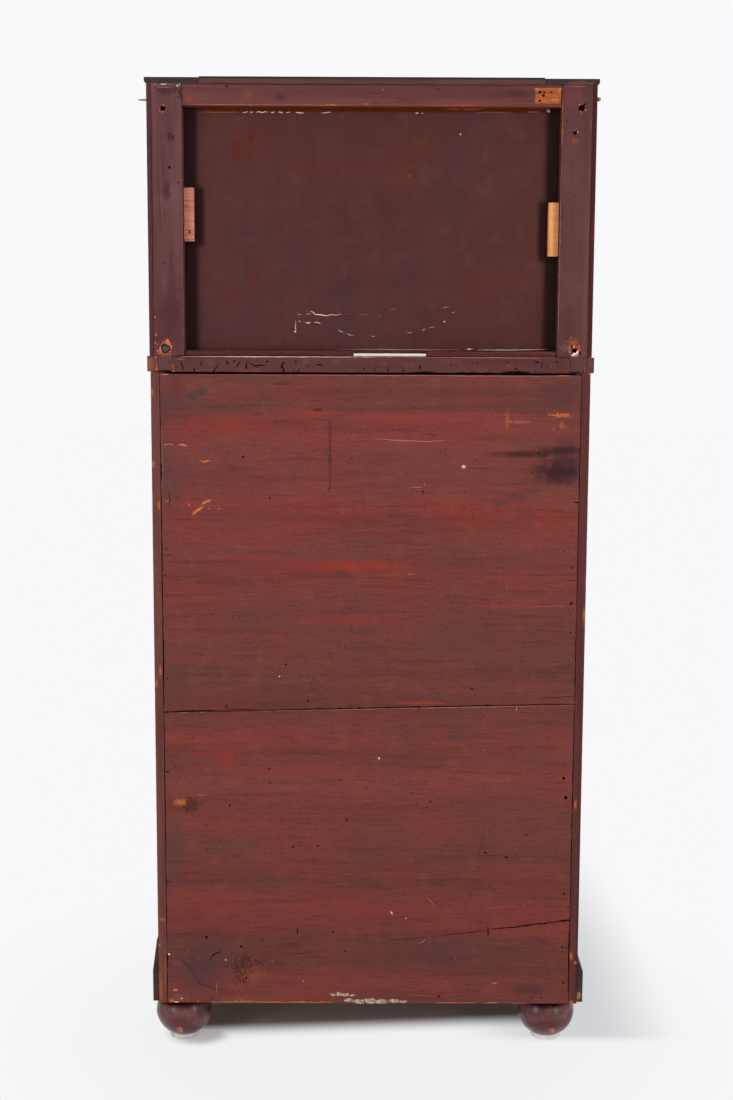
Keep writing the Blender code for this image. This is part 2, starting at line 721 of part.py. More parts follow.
def pegs():
    """Brass pegs: the right one ends in a point, the left one in a small round button."""
    button = arc((0, PEG_LEFT_PROUD - PEG_BUTTON_RADIUS), PEG_BUTTON_RADIUS, -50, 90, 8)
    button_end = [(PEG_RADIUS, FIT_GAP)] + button[:-1] + [(0, PEG_LEFT_PROUD)]
    pointed_end = [
        (PEG_RADIUS, PEG_RADIUS), (PEG_RADIUS / 2, PEG_RIGHT_PROUD - PEG_RADIUS), (0, PEG_RIGHT_PROUD),
    ]
    ends = {"peg_left": (LEFT, button_end), "peg_right": (RIGHT, pointed_end)}
    for name, (side, tip) in ends.items():
        y, z = peg_axis(side)
        shape = bmesh.new()
        add_turning(shape, [(0, -PEG_DEPTH), (PEG_RADIUS, -PEG_DEPTH)] + tip, SMALL_SIDES)
        home = (side * UPPER_HALF, y, z)
        turn = (0, side * math.pi / 2, 0)
        shade_round(put(name, shape, "brass", home=home, turn=turn))


def cornice():
    """Flat frame in a U round the top board, its lower edge rounded at the front and the sides."""
    half = UPPER_HALF + CORNICE_SIDE_OVERHANG
    front = UPPER_FRONT_Y - CORNICE_FRONT_OVERHANG
    inner = half - CORNICE_BORDER
    inner_front = front + CORNICE_BORDER
    outline = [
        (-half, BACK_Y), (-half, front), (half, front), (half, BACK_Y),
        (inner, BACK_Y), (inner, inner_front), (-inner, inner_front), (-inner, BACK_Y),
    ]
    shape = bmesh.new()
    low_z = UPPER_TOP_Z
    add_prism(shape, outline, "Z", low_z, low_z + CORNICE_THICKNESS)

    def lower_show_edge(place):
        outer = abs(place.x) > half - FIT_GAP or place.y < front + FIT_GAP
        return outer and place.z < low_z + FIT_GAP

    round_edges(shape, lower_show_edge, CORNICE_ROUNDING)
    put("cornice", shape, "ebonised")


def top_board():
    """Board let into the cornice frame, a little thicker than the frame."""
    half = UPPER_HALF + CORNICE_SIDE_OVERHANG - CORNICE_BORDER - FIT_GAP
    front = UPPER_FRONT_Y - CORNICE_FRONT_OVERHANG + CORNICE_BORDER + FIT_GAP
    top_z = UPPER_TOP_Z + TOP_BOARD_THICKNESS
    board("top_board", (-half, front, UPPER_TOP_Z), (half, BACK_Y, top_z), "ebonised")


def door_axis(side):
    """X and Y of a door's pivot axis, half a door's thickness from its edge and its face."""
    x = side * (UPPER_INNER_HALF - DOOR_HINGE_GAP - DOOR_THICKNESS / 2)
    return x, UPPER_FRONT_Y + DOOR_THICKNESS / 2


def door_span():
    """Underside and top of the doors."""
    return WAIST_Z + DOOR_END_GAP, FRIEZE_RAIL_Z - DOOR_END_GAP


def pivot_holes(level, direction):
    """Cutter for the pivot holes of both doors, from a level up or down into the case."""
    shape = bmesh.new()
    for side in (LEFT, RIGHT):
        x, y = door_axis(side)
        start = (x, y, level - direction * CUT_OVERRUN)
        end = (x, y, level + direction * (PIVOT_IN_CASE + FIT_GAP))
        add_rod(shape, start, end, PIVOT_RADIUS + FIT_GAP)
    return shape


def door(side, name):
    """One door: frame with a round hinge edge, raised panel in its groove, and two pivots."""
    axis_x, axis_y = door_axis(side)
    low_z, high_z = door_span()
    hinge = bpy.data.objects.new(f"{name}_axis", None)
    hinge.location = (axis_x, axis_y, low_z)
    bpy.context.scene.collection.objects.link(hinge)
    radius = DOOR_THICKNESS / 2
    edge_x = side * DOOR_MEETING_GAP / 2
    turn = arc((axis_x, axis_y), radius, 90, 270, DOOR_EDGE_STEPS)
    if side == RIGHT:
        turn = [(2 * axis_x - x, y) for x, y in turn]
    outline = turn + [(edge_x, axis_y - radius), (edge_x, axis_y + radius)]
    shape = bmesh.new()
    add_prism(shape, outline, "Z", low_z, high_z)
    frame = put(f"{name}_frame", shape, "polished_mahogany", home=hinge.location, parent=hinge)

    hinge_edge = UPPER_INNER_HALF - DOOR_HINGE_GAP
    window_near = DOOR_MEETING_GAP / 2 + DOOR_FRAME_WIDTH
    window_far = hinge_edge - DOOR_FRAME_WIDTH
    window_z = (low_z + DOOR_FRAME_WIDTH, high_z - DOOR_FRAME_WIDTH)
    window = bmesh.new()
    through = (axis_y - radius - CUT_OVERRUN, axis_y + radius + CUT_OVERRUN)
    add_sided_box(window, side, window_near, window_far, through, window_z)
    cut(frame, window)

    tongue = DOOR_PANEL_TONGUE
    groove = bmesh.new()
    groove_y = (axis_y - DOOR_PANEL_EDGE / 2 - FIT_GAP, axis_y + DOOR_PANEL_EDGE / 2 + FIT_GAP)
    groove_z = (window_z[0] - tongue - FIT_GAP, window_z[1] + tongue + FIT_GAP)
    add_sided_box(
        groove, side, window_near - tongue - FIT_GAP, window_far + tongue + FIT_GAP, groove_y, groove_z
    )
    cut(frame, groove)

    pins = bmesh.new()
    for level, direction in ((low_z, 1), (high_z, -1)):
        start = (axis_x, axis_y, level - direction * CUT_OVERRUN)
        end = (axis_x, axis_y, level + direction * (PIVOT_IN_DOOR + FIT_GAP))
        add_rod(pins, start, end, PIVOT_RADIUS + FIT_GAP)
    cut(frame, pins)

    near, far = window_near - tongue, window_far + tongue
    raised_panel(f"{name}_panel", side, (near, far), (window_z[0] - tongue, window_z[1] + tongue), hinge)
    pivots(name, hinge, axis_x, axis_y)


def raised_panel(name, side, x_span, z_span, hinge):
    """Panel whose sloped margins rise from a thin edge to a flat field in front."""
    centre_y = hinge.location.y
    back_y = centre_y + DOOR_PANEL_EDGE / 2
    edge_y = centre_y - DOOR_PANEL_EDGE / 2
    field_y = back_y - DOOR_PANEL_THICKNESS
    margins = [
        (0, back_y), (0, edge_y), (DOOR_PANEL_TONGUE, edge_y),
        (DOOR_PANEL_TONGUE + DOOR_PANEL_SLOPE, field_y),
    ]
    low_x, high_x = sided(side, *x_span)
    low_z, high_z = z_span
    shape = bmesh.new()
    rings = []
    for inset, y in margins:
        corners = (
            (low_x + inset, low_z + inset), (high_x - inset, low_z + inset),
            (high_x - inset, high_z - inset), (low_x + inset, high_z - inset),
        )
        rings.append([shape.verts.new((x, y, z)) for x, z in corners])
    for ring, following in zip(rings, rings[1:]):
        for spot in range(4):
            after = (spot + 1) % 4
            shape.faces.new((ring[spot], ring[after], following[after], following[spot]))
    shape.faces.new(rings[0])
    shape.faces.new(rings[-1])
    bmesh.ops.recalc_face_normals(shape, faces=shape.faces)
    put(name, shape, "polished_mahogany", home=hinge.location, parent=hinge)


def pivots(name, hinge, x, y):
    """Pivot pins that stand out of the door's two ends into the case."""
    low_z, high_z = door_span()
    spans = {
        "bottom": (WAIST_Z - PIVOT_IN_CASE, low_z + PIVOT_IN_DOOR),
        "top": (high_z - PIVOT_IN_DOOR, FRIEZE_RAIL_Z + PIVOT_IN_CASE),
    }
    for place, (start_z, end_z) in spans.items():
        shape = bmesh.new()
        add_rod(shape, (x, y, start_z), (x, y, end_z), PIVOT_RADIUS)
        pin = put(f"{name}_pivot_{place}", shape, "brass", home=hinge.location, parent=hinge)
        shade_round(pin)


def drawer(number, opening):
    """One drawer: front with sockets, dovetailed box, bottom in its groove and two knobs."""
    low_z = opening[0]
    high_z = opening[1] - DRAWER_TOP_GAP
    half = CASE_INNER_HALF - DRAWER_SIDE_GAP
    shoulder_y = FRONT_Y + DRAWER_FRONT_THICKNESS
    back_y = BACK_FACE_Y - DRAWER_BACK_ROOM
    box_top_z = high_z - DRAWER_BOX_DROP
    slide = bpy.data.objects.new(f"drawer_{number}_slide", None)
    slide.location = (0, FRONT_Y, low_z)
    bpy.context.scene.collection.objects.link(slide)
    name = f"drawer_{number}"

    front = board(
        f"{name}_front", (-half, FRONT_Y, low_z), (half, shoulder_y - FIT_GAP, high_z),
        "polished_mahogany", parent=slide,
    )
    tails = tail_places(low_z, box_top_z)
    sockets = bmesh.new()
    for side in (LEFT, RIGHT):
        x_span = sided(side, half - DRAWER_SIDE_THICKNESS - FIT_GAP, half + CUT_OVERRUN)
        for centre, root in tails:
            outline = tail_outline(centre, root + FIT_GAP, shoulder_y, -CUT_OVERRUN, TAIL_LAP + FIT_GAP)
            add_prism(sockets, outline, "X", *x_span)
    cut(front, sockets)

    inner = half - DRAWER_SIDE_THICKNESS
    tip_y = shoulder_y - TAIL_LAP
    outline = [
        (-half, tip_y), (-inner, tip_y), (-inner, back_y - DRAWER_BACK_THICKNESS),
        (inner, back_y - DRAWER_BACK_THICKNESS), (inner, tip_y), (half, tip_y),
        (half, back_y), (-half, back_y),
    ]
    shape = bmesh.new()
    add_prism(shape, outline, "Z", low_z + FIT_GAP, box_top_z)
    box = put(f"{name}_box", shape, "drawer_oak", parent=slide)
    cut(box, tail_waste(tails, half, shoulder_y, low_z, box_top_z))

    floor_z = low_z + DRAWER_BOTTOM_LIFT
    floor_top_z = floor_z + DRAWER_BOTTOM_THICKNESS
    floor_half = inner + DRAWER_GROOVE_DEPTH
    floor_front_y = shoulder_y - DRAWER_GROOVE_DEPTH
    groove = bmesh.new()
    low = (-floor_half - FIT_GAP, floor_front_y - FIT_GAP, floor_z - FIT_GAP)
    high = (floor_half + FIT_GAP, back_y + CUT_OVERRUN, floor_top_z + FIT_GAP)
    add_box(groove, low, high)
    cut(box, groove)
    under_back = bmesh.new()
    low = (-inner, back_y - DRAWER_BACK_THICKNESS - CUT_OVERRUN, low_z - CUT_OVERRUN)
    add_box(under_back, low, (inner, back_y + CUT_OVERRUN, floor_top_z + FIT_GAP))
    cut(box, under_back)
    front_groove = bmesh.new()
    high = (floor_half + FIT_GAP, shoulder_y + CUT_OVERRUN, floor_top_z + FIT_GAP)
    add_box(front_groove, (-floor_half - FIT_GAP, floor_front_y - FIT_GAP, floor_z - FIT_GAP), high)
    cut(front, front_groove)
    low = (-floor_half, floor_front_y, floor_z)
    board(f"{name}_bottom", low, (floor_half, back_y, floor_top_z), "drawer_oak", parent=slide, arris=None)

    bores = bmesh.new()
    knob_z = (low_z + high_z) / 2
    for side, word in ((LEFT, "left"), (RIGHT, "right")):
        knob_x = side * (half - KNOB_SIDE_INSET)
        start = (knob_x, FRONT_Y - CUT_OVERRUN, knob_z)
        end = (knob_x, shoulder_y + CUT_OVERRUN, knob_z)
        add_rod(bores, start, end, KNOB_SPIGOT_RADIUS + FIT_GAP)
        knob(f"{name}_knob_{word}", (knob_x, FRONT_Y, knob_z), slide)
    cut(front, bores)


def tail_places(low_z, high_z):
    """Centre height and root half-height of each dovetail."""
    pitch = (high_z - low_z) / TAIL_COUNT
    root = pitch * TAIL_ROOT_SHARE / 2
    return [(low_z + pitch * (spot + 0.5), root) for spot in range(TAIL_COUNT)]


def tail_outline(centre, root, shoulder_y, start, end):
    """Trapezium of a tail from one distance past the shoulder to another."""
    first = root + start * TAIL_FLARE_SHARE
    last = root + end * TAIL_FLARE_SHARE
    return [
        (shoulder_y - start, centre - first), (shoulder_y - start, centre + first),
        (shoulder_y - end, centre + last), (shoulder_y - end, centre - last),
    ]


def tail_waste(tails, half, shoulder_y, low_z, high_z):
    """Cutter for the waste between the tails, which the pins of the front fill."""
    shape = bmesh.new()
    reach = TAIL_LAP + CUT_OVERRUN
    flare = reach * TAIL_FLARE_SHARE
    edges = [low_z - CUT_OVERRUN]
    for centre, root in tails:
        edges += [centre - root, centre + root]
    edges.append(high_z + CUT_OVERRUN)
    spans = list(zip(edges[::2], edges[1::2]))
    for side in (LEFT, RIGHT):
        x_span = sided(side, half - DRAWER_SIDE_THICKNESS - CUT_OVERRUN, half + CUT_OVERRUN)
        for spot, (low, high) in enumerate(spans):
            low_flare = 0 if spot == 0 else flare
            high_flare = 0 if spot == len(spans) - 1 else flare
            outline = [
                (shoulder_y, low), (shoulder_y, high),
                (shoulder_y - reach, high - high_flare), (shoulder_y - reach, low + low_flare),
            ]
            add_prism(shape, outline, "X", *x_span)
    return shape


def knob(name, place, slide):
    """Turned knob with a collar, a neck, a domed head and a spigot through the drawer front."""
    collar = KNOB_NECK_REACH / 3
    dome = bow(
        (KNOB_RADIUS, KNOB_HEAD_EDGE), (KNOB_RADIUS, KNOB_PROJECTION), (0, KNOB_PROJECTION), 5,
    )
    flare = bow(
        (KNOB_NECK_RADIUS, KNOB_NECK_REACH), (KNOB_NECK_RADIUS, KNOB_HEAD_EDGE),
        (KNOB_RADIUS, KNOB_HEAD_EDGE), 3,
    )
    profile = [
        (0, -DRAWER_FRONT_THICKNESS), (KNOB_SPIGOT_RADIUS, -DRAWER_FRONT_THICKNESS),
        (KNOB_SPIGOT_RADIUS, FIT_GAP), (KNOB_BASE_RADIUS, FIT_GAP), (KNOB_BASE_RADIUS, collar),
    ]
    profile += flare + dome[1:]
    shape = bmesh.new()
    add_turning(shape, profile, TURNED_SIDES)
    thing = put(name, shape, "polished_mahogany", home=place, parent=slide, turn=(math.pi / 2, 0, 0))
    shade_round(thing)


clear_scene()
MATERIALS = make_materials()
case_side(LEFT, "case_side_left")
case_side(RIGHT, "case_side_right")
case_bottom()
dividers()
base_rail()
back_boards()
plinth()
feet()
chest_top()
upper_side(LEFT, "upper_side_left")
upper_side(RIGHT, "upper_side_right")
frieze_rail()
post(LEFT, "post_left")
post(RIGHT, "post_right")
top_rail()
back_panel()
battens()
glue_blocks()
pegs()
cornice()
top_board()
door(LEFT, "door_left")
door(RIGHT, "door_right")
for drawer_number, drawer_opening in enumerate(divider_levels()[1], 1):
    drawer(drawer_number, drawer_opening)
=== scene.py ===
"""Chiffonier seen from behind: finishes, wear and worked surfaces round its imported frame.

Lengths are in metres, or in millimetres where a name ends in _mm or _MM. Marks on a face are given
by x and z in millimetres. The stained back faces +Y, the doors and drawers face -Y, and +X is the
right hand of someone who faces the front.
"""

import math
import random

import bmesh
import bpy
from mathutils import Euler, Matrix, Vector, noise


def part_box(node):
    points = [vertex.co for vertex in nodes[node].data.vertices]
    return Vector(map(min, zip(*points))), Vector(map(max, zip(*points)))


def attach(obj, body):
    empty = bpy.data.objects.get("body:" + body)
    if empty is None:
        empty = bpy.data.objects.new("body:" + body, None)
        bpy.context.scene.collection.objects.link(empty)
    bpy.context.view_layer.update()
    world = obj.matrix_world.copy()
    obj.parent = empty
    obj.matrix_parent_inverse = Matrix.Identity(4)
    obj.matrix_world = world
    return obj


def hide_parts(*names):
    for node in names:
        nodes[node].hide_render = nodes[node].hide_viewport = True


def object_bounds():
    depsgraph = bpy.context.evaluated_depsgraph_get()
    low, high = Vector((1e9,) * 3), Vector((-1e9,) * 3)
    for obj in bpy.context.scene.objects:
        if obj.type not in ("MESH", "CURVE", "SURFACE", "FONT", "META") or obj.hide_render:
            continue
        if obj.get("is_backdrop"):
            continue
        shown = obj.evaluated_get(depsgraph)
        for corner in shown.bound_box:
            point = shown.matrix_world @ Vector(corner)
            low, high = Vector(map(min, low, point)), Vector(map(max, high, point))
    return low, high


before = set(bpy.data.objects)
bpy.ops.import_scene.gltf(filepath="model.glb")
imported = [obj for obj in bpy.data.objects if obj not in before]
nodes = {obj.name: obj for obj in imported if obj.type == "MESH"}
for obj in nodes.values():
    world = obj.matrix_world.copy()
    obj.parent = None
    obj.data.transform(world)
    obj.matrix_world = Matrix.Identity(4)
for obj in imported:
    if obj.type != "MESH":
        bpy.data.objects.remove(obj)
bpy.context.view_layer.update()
random.seed(11)
noise.seed_set(11)

# Case sides. Two mahogany boards, french polished outside and on the front edge. Their back edges
# stand beside the back boards and only got the red stain of the back, since rubbed and chipped.
BACK_MM = 214
DRAWN_OUT = {"X": (0.05, 1, 1), "Y": (1, 0.05, 1), "Z": (1, 1, 0.05), None: (1, 1, 1)}
BARE_ORANGE = (178, 100, 60)


def tone(red, green, blue):
    """A colour as a screen shows it, 0 to 255, as the linear values that a shader takes."""
    return tuple(((part / 255 + 0.055) / 1.055) ** 2.4 for part in (red, green, blue)) + (1.0,)


def step(tree, kind, values=(), out=0, **settings):
    """Add a node, feed it numbers or other nodes' outputs, and give back one of its outputs."""
    node = tree.nodes.new("ShaderNode" + kind)
    for name, value in settings.items():
        setattr(node, name, value)
    for key, value in (values.items() if isinstance(values, dict) else enumerate(values)):
        if isinstance(value, bpy.types.NodeSocket):
            tree.links.new(value, node.inputs[key])
        else:
            node.inputs[key].default_value = value
    return node.outputs[out]


class Finish:
    """The look of one piece, laid on coat by coat: colour, roughness and relief."""

    def __init__(self, name, colour, roughness):
        self.material = bpy.data.materials.new(name)
        self.material.use_nodes = True
        self.tree = self.material.node_tree
        self.shader = self.tree.nodes["Principled BSDF"]
        self.place = step(self.tree, "TexCoord", out="Object")
        self.colour = tone(*colour)
        self.roughness = roughness
        self.height = None
        self.polish = None

    def math(self, operation, *values):
        return step(self.tree, "Math", values, operation=operation)

    def vector(self, operation, *values, out="Vector"):
        return step(self.tree, "VectorMath", values, out=out, operation=operation)

    def axis(self, letter):
        return step(self.tree, "SeparateXYZ", (self.place,), out=letter)

    def between(self, value, low, high, start=0.0, end=1.0):
        """Spread a value that runs from low to high softly over start to end."""
        return step(self.tree, "MapRange", (value, low, high, start, end), interpolation_type="SMOOTHSTEP")

    def beyond(self, letter, level, soft=0.0006):
        """1 where the place is past a level along an axis."""
        return self.between(self.axis(letter), level - soft, level + soft)

    def cloud(self, scale, along=None, detail=3.0, warp=0.0):
        """Patchy noise from 0 to 1, drawn out along the grain if there is any."""
        spot = step(self.tree, "Mapping", {"Vector": self.place, "Scale": DRAWN_OUT[along]})
        return step(self.tree, "TexNoise", {
            "Vector": spot, "Scale": scale, "Detail": detail, "Roughness": 0.55, "Distortion": warp,
        })

    def lay(self, mask, colour):
        """Lay a colour over what is there, where the mask lets it."""
        mixed = {0: mask, 6: self.colour, 7: tone(*colour)}
        self.colour = step(self.tree, "Mix", mixed, out=2, data_type="RGBA")

    def streaks(self, along, scale, colour, share, low=0.45, high=0.65, detail=3.0, warp=0.0):
        """Streaks of another colour along the grain; with along None they are patches."""
        self.lay(self.between(self.cloud(scale, along, detail, warp), low, high, 0.0, share), colour)

    def coats(self, *rows):
        """Several coats of streaks, one over the other."""
        for row in rows:
            self.streaks(*row)

    def height_bands(self, low, high, wobble, *stops):
        """Broad bands of stain, level with the grain: stops give a share of the height and a colour."""
        level = self.math("ADD", self.axis("Z"), -wobble / 2)
        ragged = self.math("MULTIPLY_ADD", self.cloud(2.2, "X", 4.0), wobble, level)
        climb = self.math("DIVIDE", self.math("SUBTRACT", ragged, low), high - low)
        ramp = step(self.tree, "ValToRGB", (climb,))
        elements = ramp.node.color_ramp.elements
        ramp.node.color_ramp.interpolation = "EASE"
        for share, _ in stops[2:]:
            elements.new(share)
        for element, (share, _) in zip(sorted(elements, key=lambda item: item.position), stops):
            element.position = share
        for element, (_, colour) in zip(elements, stops):
            element.color = tone(*colour)
        self.colour = ramp

    def spot(self, centre_mm, size_mm, colour, share, ragged=0.5, scale=90.0):
        """A spot of colour of a size, mostly a stain: it fades out softly where it is ragged coarsely, crisply
        where finely.
        """
        offset = self.vector("SUBTRACT", self.place, [c / 1000 for c in centre_mm])
        reach = self.vector("MULTIPLY", offset, [1000 / half for half in size_mm])
        far = self.vector("LENGTH", reach, out="Value")
        near = self.math("ADD", far, -ragged)
        rough = self.math("MULTIPLY_ADD", self.cloud(scale, None, 4.0), ragged * 2, near)
        full, none = (0.6, 1.0) if scale > 140 else (0.1, 1.2)
        self.lay(self.between(rough, full, none, share, 0.0), colour)

    def stains(self, *rows, deep_mm=6, face_mm=BACK_MM):
        """Spots on a face that looks back: x, z, half the width, half the height, then as for a spot."""
        for x_mm, z_mm, half_mm, tall_mm, *rest in rows:
            self.spot((x_mm, face_mm, z_mm), (half_mm, deep_mm, tall_mm), *rest)

    def patch(self, low, high, soft, colour, share):
        """A colour that fills a box and fades out round it; every use here paints shade."""
        under = self.vector("SUBTRACT", low, self.place)
        over = self.vector("SUBTRACT", self.place, high)
        outside = self.vector("MAXIMUM", self.vector("MAXIMUM", under, over), (0, 0, 0))
        far = self.vector("LENGTH", outside, out="Value")
        self.lay(self.between(far, 0, soft, share, 0.0), colour)

    def rub(self, low, high, width, colour, share):
        """Finish rubbed off in places along a board's arrises, where its two nearest faces are close."""
        from_low = self.vector("SUBTRACT", self.place, low)
        nearest = self.vector("MINIMUM", from_low, self.vector("SUBTRACT", high, self.place))
        x, y, z = (step(self.tree, "SeparateXYZ", (nearest,), out=letter) for letter in "XYZ")
        inner = self.math("MINIMUM", self.math("MAXIMUM", x, y), z)
        second = self.math("MAXIMUM", self.math("MINIMUM", x, y), inner)
        ragged = self.math("MULTIPLY_ADD", self.cloud(55.0, None, 4.0), -width * 3.6, second)
        self.lay(self.between(ragged, -width * 2.1, -width * 1.2, share, 0.0), colour)

    def dull_behind(self, y, share):
        """Past a place towards the back only a share of the gloss is left."""
        behind = self.beyond("Y", y)
        self.polish = self.between(behind, 0, 1, 1.0, share)
        return behind

    def matt_behind(self, y, colour):
        """Behind, the piece has only the red stain: its own colour and hardly any gloss."""
        self.lay(self.dull_behind(y, 0.12), colour)

    def sheen(self, low, high, scale=8.0, along=None):
        """Roughness that wanders between two values."""
        self.roughness = self.between(self.cloud(scale, along), 0.3, 0.7, low, high)

    def relief(self, scale, depth, along=None):
        """Unevenness of a depth in metres."""
        rise = self.math("MULTIPLY", self.cloud(scale, along), depth)
        self.height = rise if self.height is None else self.math("ADD", self.height, rise)

    def done(self, coat=0.0, coat_roughness=0.1, metallic=0.0, gloss=0.5):
        """Close the finish and give back its material."""
        if self.polish is not None:
            coat = self.math("MULTIPLY", self.polish, coat)
            gloss = self.math("MULTIPLY", self.polish, gloss)
        for name, value in {
            "Base Color": self.colour, "Roughness": self.roughness, "Metallic": metallic,
            "Specular IOR Level": gloss, "Coat Weight": coat, "Coat Roughness": coat_roughness,
        }.items():
            if isinstance(value, bpy.types.NodeSocket):
                self.tree.links.new(value, self.shader.inputs[name])
            else:
                self.shader.inputs[name].default_value = value
        if self.height is not None:
            bump = {"Strength": 1.0, "Distance": 1.0, "Height": self.height}
            self.tree.links.new(step(self.tree, "Bump", bump, out="Normal"), self.shader.inputs["Normal"])
        return self.material


def mahogany(name, along, figure=0.5):
    """French-polished mahogany: heart streaks, a broken ribbon across them and fine dark pores."""
    look = Finish(name, (92, 41, 31), 0.3)
    look.coats(
        (along, 7, (62, 26, 22), 0.8, 0.42, 0.62, 4.0, 0.6),
        (along, 26, (126, 62, 40), 0.5, 0.5, 0.72, 3.0, 0.4),
        (None, 5.5, (70, 28, 22), figure, 0.45, 0.6, 2.0, 1.6),
        (along, 330, (38, 15, 13), 0.55, 0.56, 0.68),
    )
    look.sheen(0.26, 0.4, 14.0, along)
    look.relief(420, 0.00004, along)
    return look


def dress(node, material):
    """Give a CAD piece its finish in every material slot."""
    for slot in nodes[node].material_slots:
        slot.material = material


BACK_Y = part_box("back_board_upper")[1].y
STAINED_EDGE_Y = BACK_Y - 0.0011
SIDE_CHIPS_MM = {
    1: (
        (328, 1040, 2.2, 6), (328, 930, 3, 6), (320, 868, 1.8, 7), (321, 612, 2, 9), (327, 592, 2, 6),
        (323, 214, 4, 3), (328, 172, 3, 3), (319.5, 120, 1.2, 40), (327, 100, 3, 30),
    ),
    -1: ((-320, 156, 2.4, 8), (-327, 145, 3, 3), (-328, 700, 2, 14), (-321, 402, 2, 9), (-322, 80, 4, 3)),
}
for node, colour in (("case_side_right", (106, 62, 55)), ("case_side_left", (90, 48, 45))):
    low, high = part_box(node)
    look = mahogany(f"{node}_finish", "Z")
    look.matt_behind(STAINED_EDGE_Y, colour)
    look.streaks("Z", 90, (64, 33, 31), 0.4)
    look.streaks("Z", 48, (140, 78, 54), 0.35, 0.56, 0.72)
    look.rub(low, high, 0.0013, (190, 104, 58), 0.8)
    side = 1 if high.x > 0 else -1
    if side < 0:
        look.stains((-330.5, 200, 4.8, 230, (44, 26, 24), 0.9, 0.3), deep_mm=4)
    for *chip, tall_mm in SIDE_CHIPS_MM[side]:
        look.stains((*chip, tall_mm, BARE_ORANGE, 0.4 if tall_mm > 20 else 0.8, 1.6, 420), deep_mm=3)
    dress(node, look.done(0.26, 0.2))

# Case bottom and dust boards. Bare quartered oak, planed, let into the sides. Only their front
# edges are polished, because they show between the drawers.


def bare_oak(name, along, edge_y=None):
    """Planed oak gone brown: long rays of paler wood, dark pores and a dusty surface."""
    look = Finish(name, (158, 118, 76), 0.7)
    look.streaks(along, 14, (124, 86, 54), 0.7, 0.4, 0.66, 4.0)
    look.streaks(along, 240, (92, 60, 36), 0.6, 0.55, 0.68)
    look.streaks(None, 9, (176, 142, 104), 0.4)
    if edge_y is not None:
        look.lay(look.between(look.axis("Y"), edge_y + 0.0012, edge_y + 0.0018, 1.0, 0.0), (76, 32, 25))
    look.sheen(0.55, 0.8)
    look.relief(300, 0.00012, along)
    return look.done()


carcass_oak = bare_oak("carcass_oak", "X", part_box("divider_1")[0].y)
for node in ("case_bottom", "divider_1", "divider_2", "divider_3", "divider_4"):
    dress(node, carcass_oak)

# Base rail. A mahogany rail behind the plinth, polished in front and glued down on the bottom
# board. It closes the case under the lowest drawer.
dress("base_rail", mahogany("base_rail_finish", "X").done(0.45, 0.12))

# Back boards. Two wide deal boards, laid level in the rebates and nailed through the ends, brushed
# with red stain. They have shrunk and split, and are bruised, wormed and bare along the bottom.
MM = 0.001
HOLLOW, BARED, RUBBED, CHALK, RUST = range(5)


def plain_wood(name, colour, other):
    """What a cut opens: wood of one colour with a little of another in it."""
    look = Finish(name, colour, 0.85)
    look.streaks("X", 120, other, 0.7, 0.4, 0.62)
    look.relief(500, 0.0002)
    return look.done(gloss=0.3)


CUT_FINISHES = (
    plain_wood("hollow", (22, 12, 11), (40, 20, 16)),
    plain_wood("bared", (206, 116, 62), (150, 74, 42)),
    plain_wood("rubbed", (166, 118, 104), (128, 84, 76)),
    plain_wood("chalk", (226, 212, 200), (180, 152, 138)),
    plain_wood("rust", (166, 68, 44), (132, 58, 46)),
)


def show(name, shape, *materials):
    """Make an object of a bmesh drawn in place."""
    mesh = bpy.data.meshes.new(name)
    shape.to_mesh(mesh)
    shape.free()
    thing = bpy.data.objects.new(name, mesh)
    bpy.context.scene.collection.objects.link(thing)
    for material in materials:
        mesh.materials.append(material)
    return thing


def stand_for(piece, body, slot, *replaced):
    """A piece moves with a body and stands for CAD nodes, which are hidden; slot is not used."""
    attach(piece, body)
    if replaced:
        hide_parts(*replaced)


def box_at(centre, size):
    """Where a unit cube goes to fill a box of a size round a centre."""
    return Matrix.Translation(centre) @ Matrix.Diagonal((*size, 1))


def planed_board(low, high, stride=0.02, arris=0.0008, waver=0.00018, bend=None):
    """A board with eased arrises, cut into strides so that its faces can be a little uneven."""
    low, high = Vector(low), Vector(high)
    size = high - low
    centre = (low + high) / 2
    shape = bmesh.new()
    bmesh.ops.create_cube(shape, size=1, matrix=box_at(centre, size))
    bmesh.ops.bevel(shape, geom=shape.edges[:], offset=arris, segments=2, profile=0.5, affect="EDGES")
    for axis in range(3):
        across = Vector((axis == 0, axis == 1, axis == 2))
        cuts = int(size[axis] / stride)
        for spot in range(1, cuts):
            plane = low + across * (size[axis] * spot / cuts)
            everything = shape.verts[:] + shape.edges[:] + shape.faces[:]
            bmesh.ops.bisect_plane(shape, geom=everything, plane_co=plane, plane_no=across)
    for vert in shape.verts:
        inward = centre - vert.co
        sway = noise.noise_vector(vert.co * 23)
        for axis in range(3):
            vert.co[axis] += math.copysign(abs(sway[axis]) * min(waver, abs(inward[axis])), inward[axis])
        if bend:
            vert.co = bend(vert.co)
    return shape


def lump(shape, place, size_mm, fineness, uneven, scale):
    """Add an uneven lump of a size to a mesh, and give back its points."""
    matrix = box_at(place, [part * MM / 2 for part in size_mm])
    made = bmesh.ops.create_icosphere(shape, subdivisions=fineness, radius=1, matrix=matrix)
    for vert in made["verts"]:
        vert.co = place + (vert.co - place) * (1 + uneven * noise.noise(vert.co * scale))
    return made["verts"]


def carve(piece, tool, operation="DIFFERENCE"):
    """Cut a tool's mesh out or join it on, then settle the result as the piece's mesh."""
    modifier = piece.modifiers.new("carve", "BOOLEAN")
    modifier.operation = operation
    modifier.solver = "EXACT"
    modifier.use_self = True
    modifier.material_mode = "TRANSFER"
    modifier.object = tool
    graph = bpy.context.evaluated_depsgraph_get()
    mesh = bpy.data.meshes.new_from_object(piece.evaluated_get(graph))
    piece.modifiers.clear()
    piece.data = mesh
    bpy.data.objects.remove(tool)


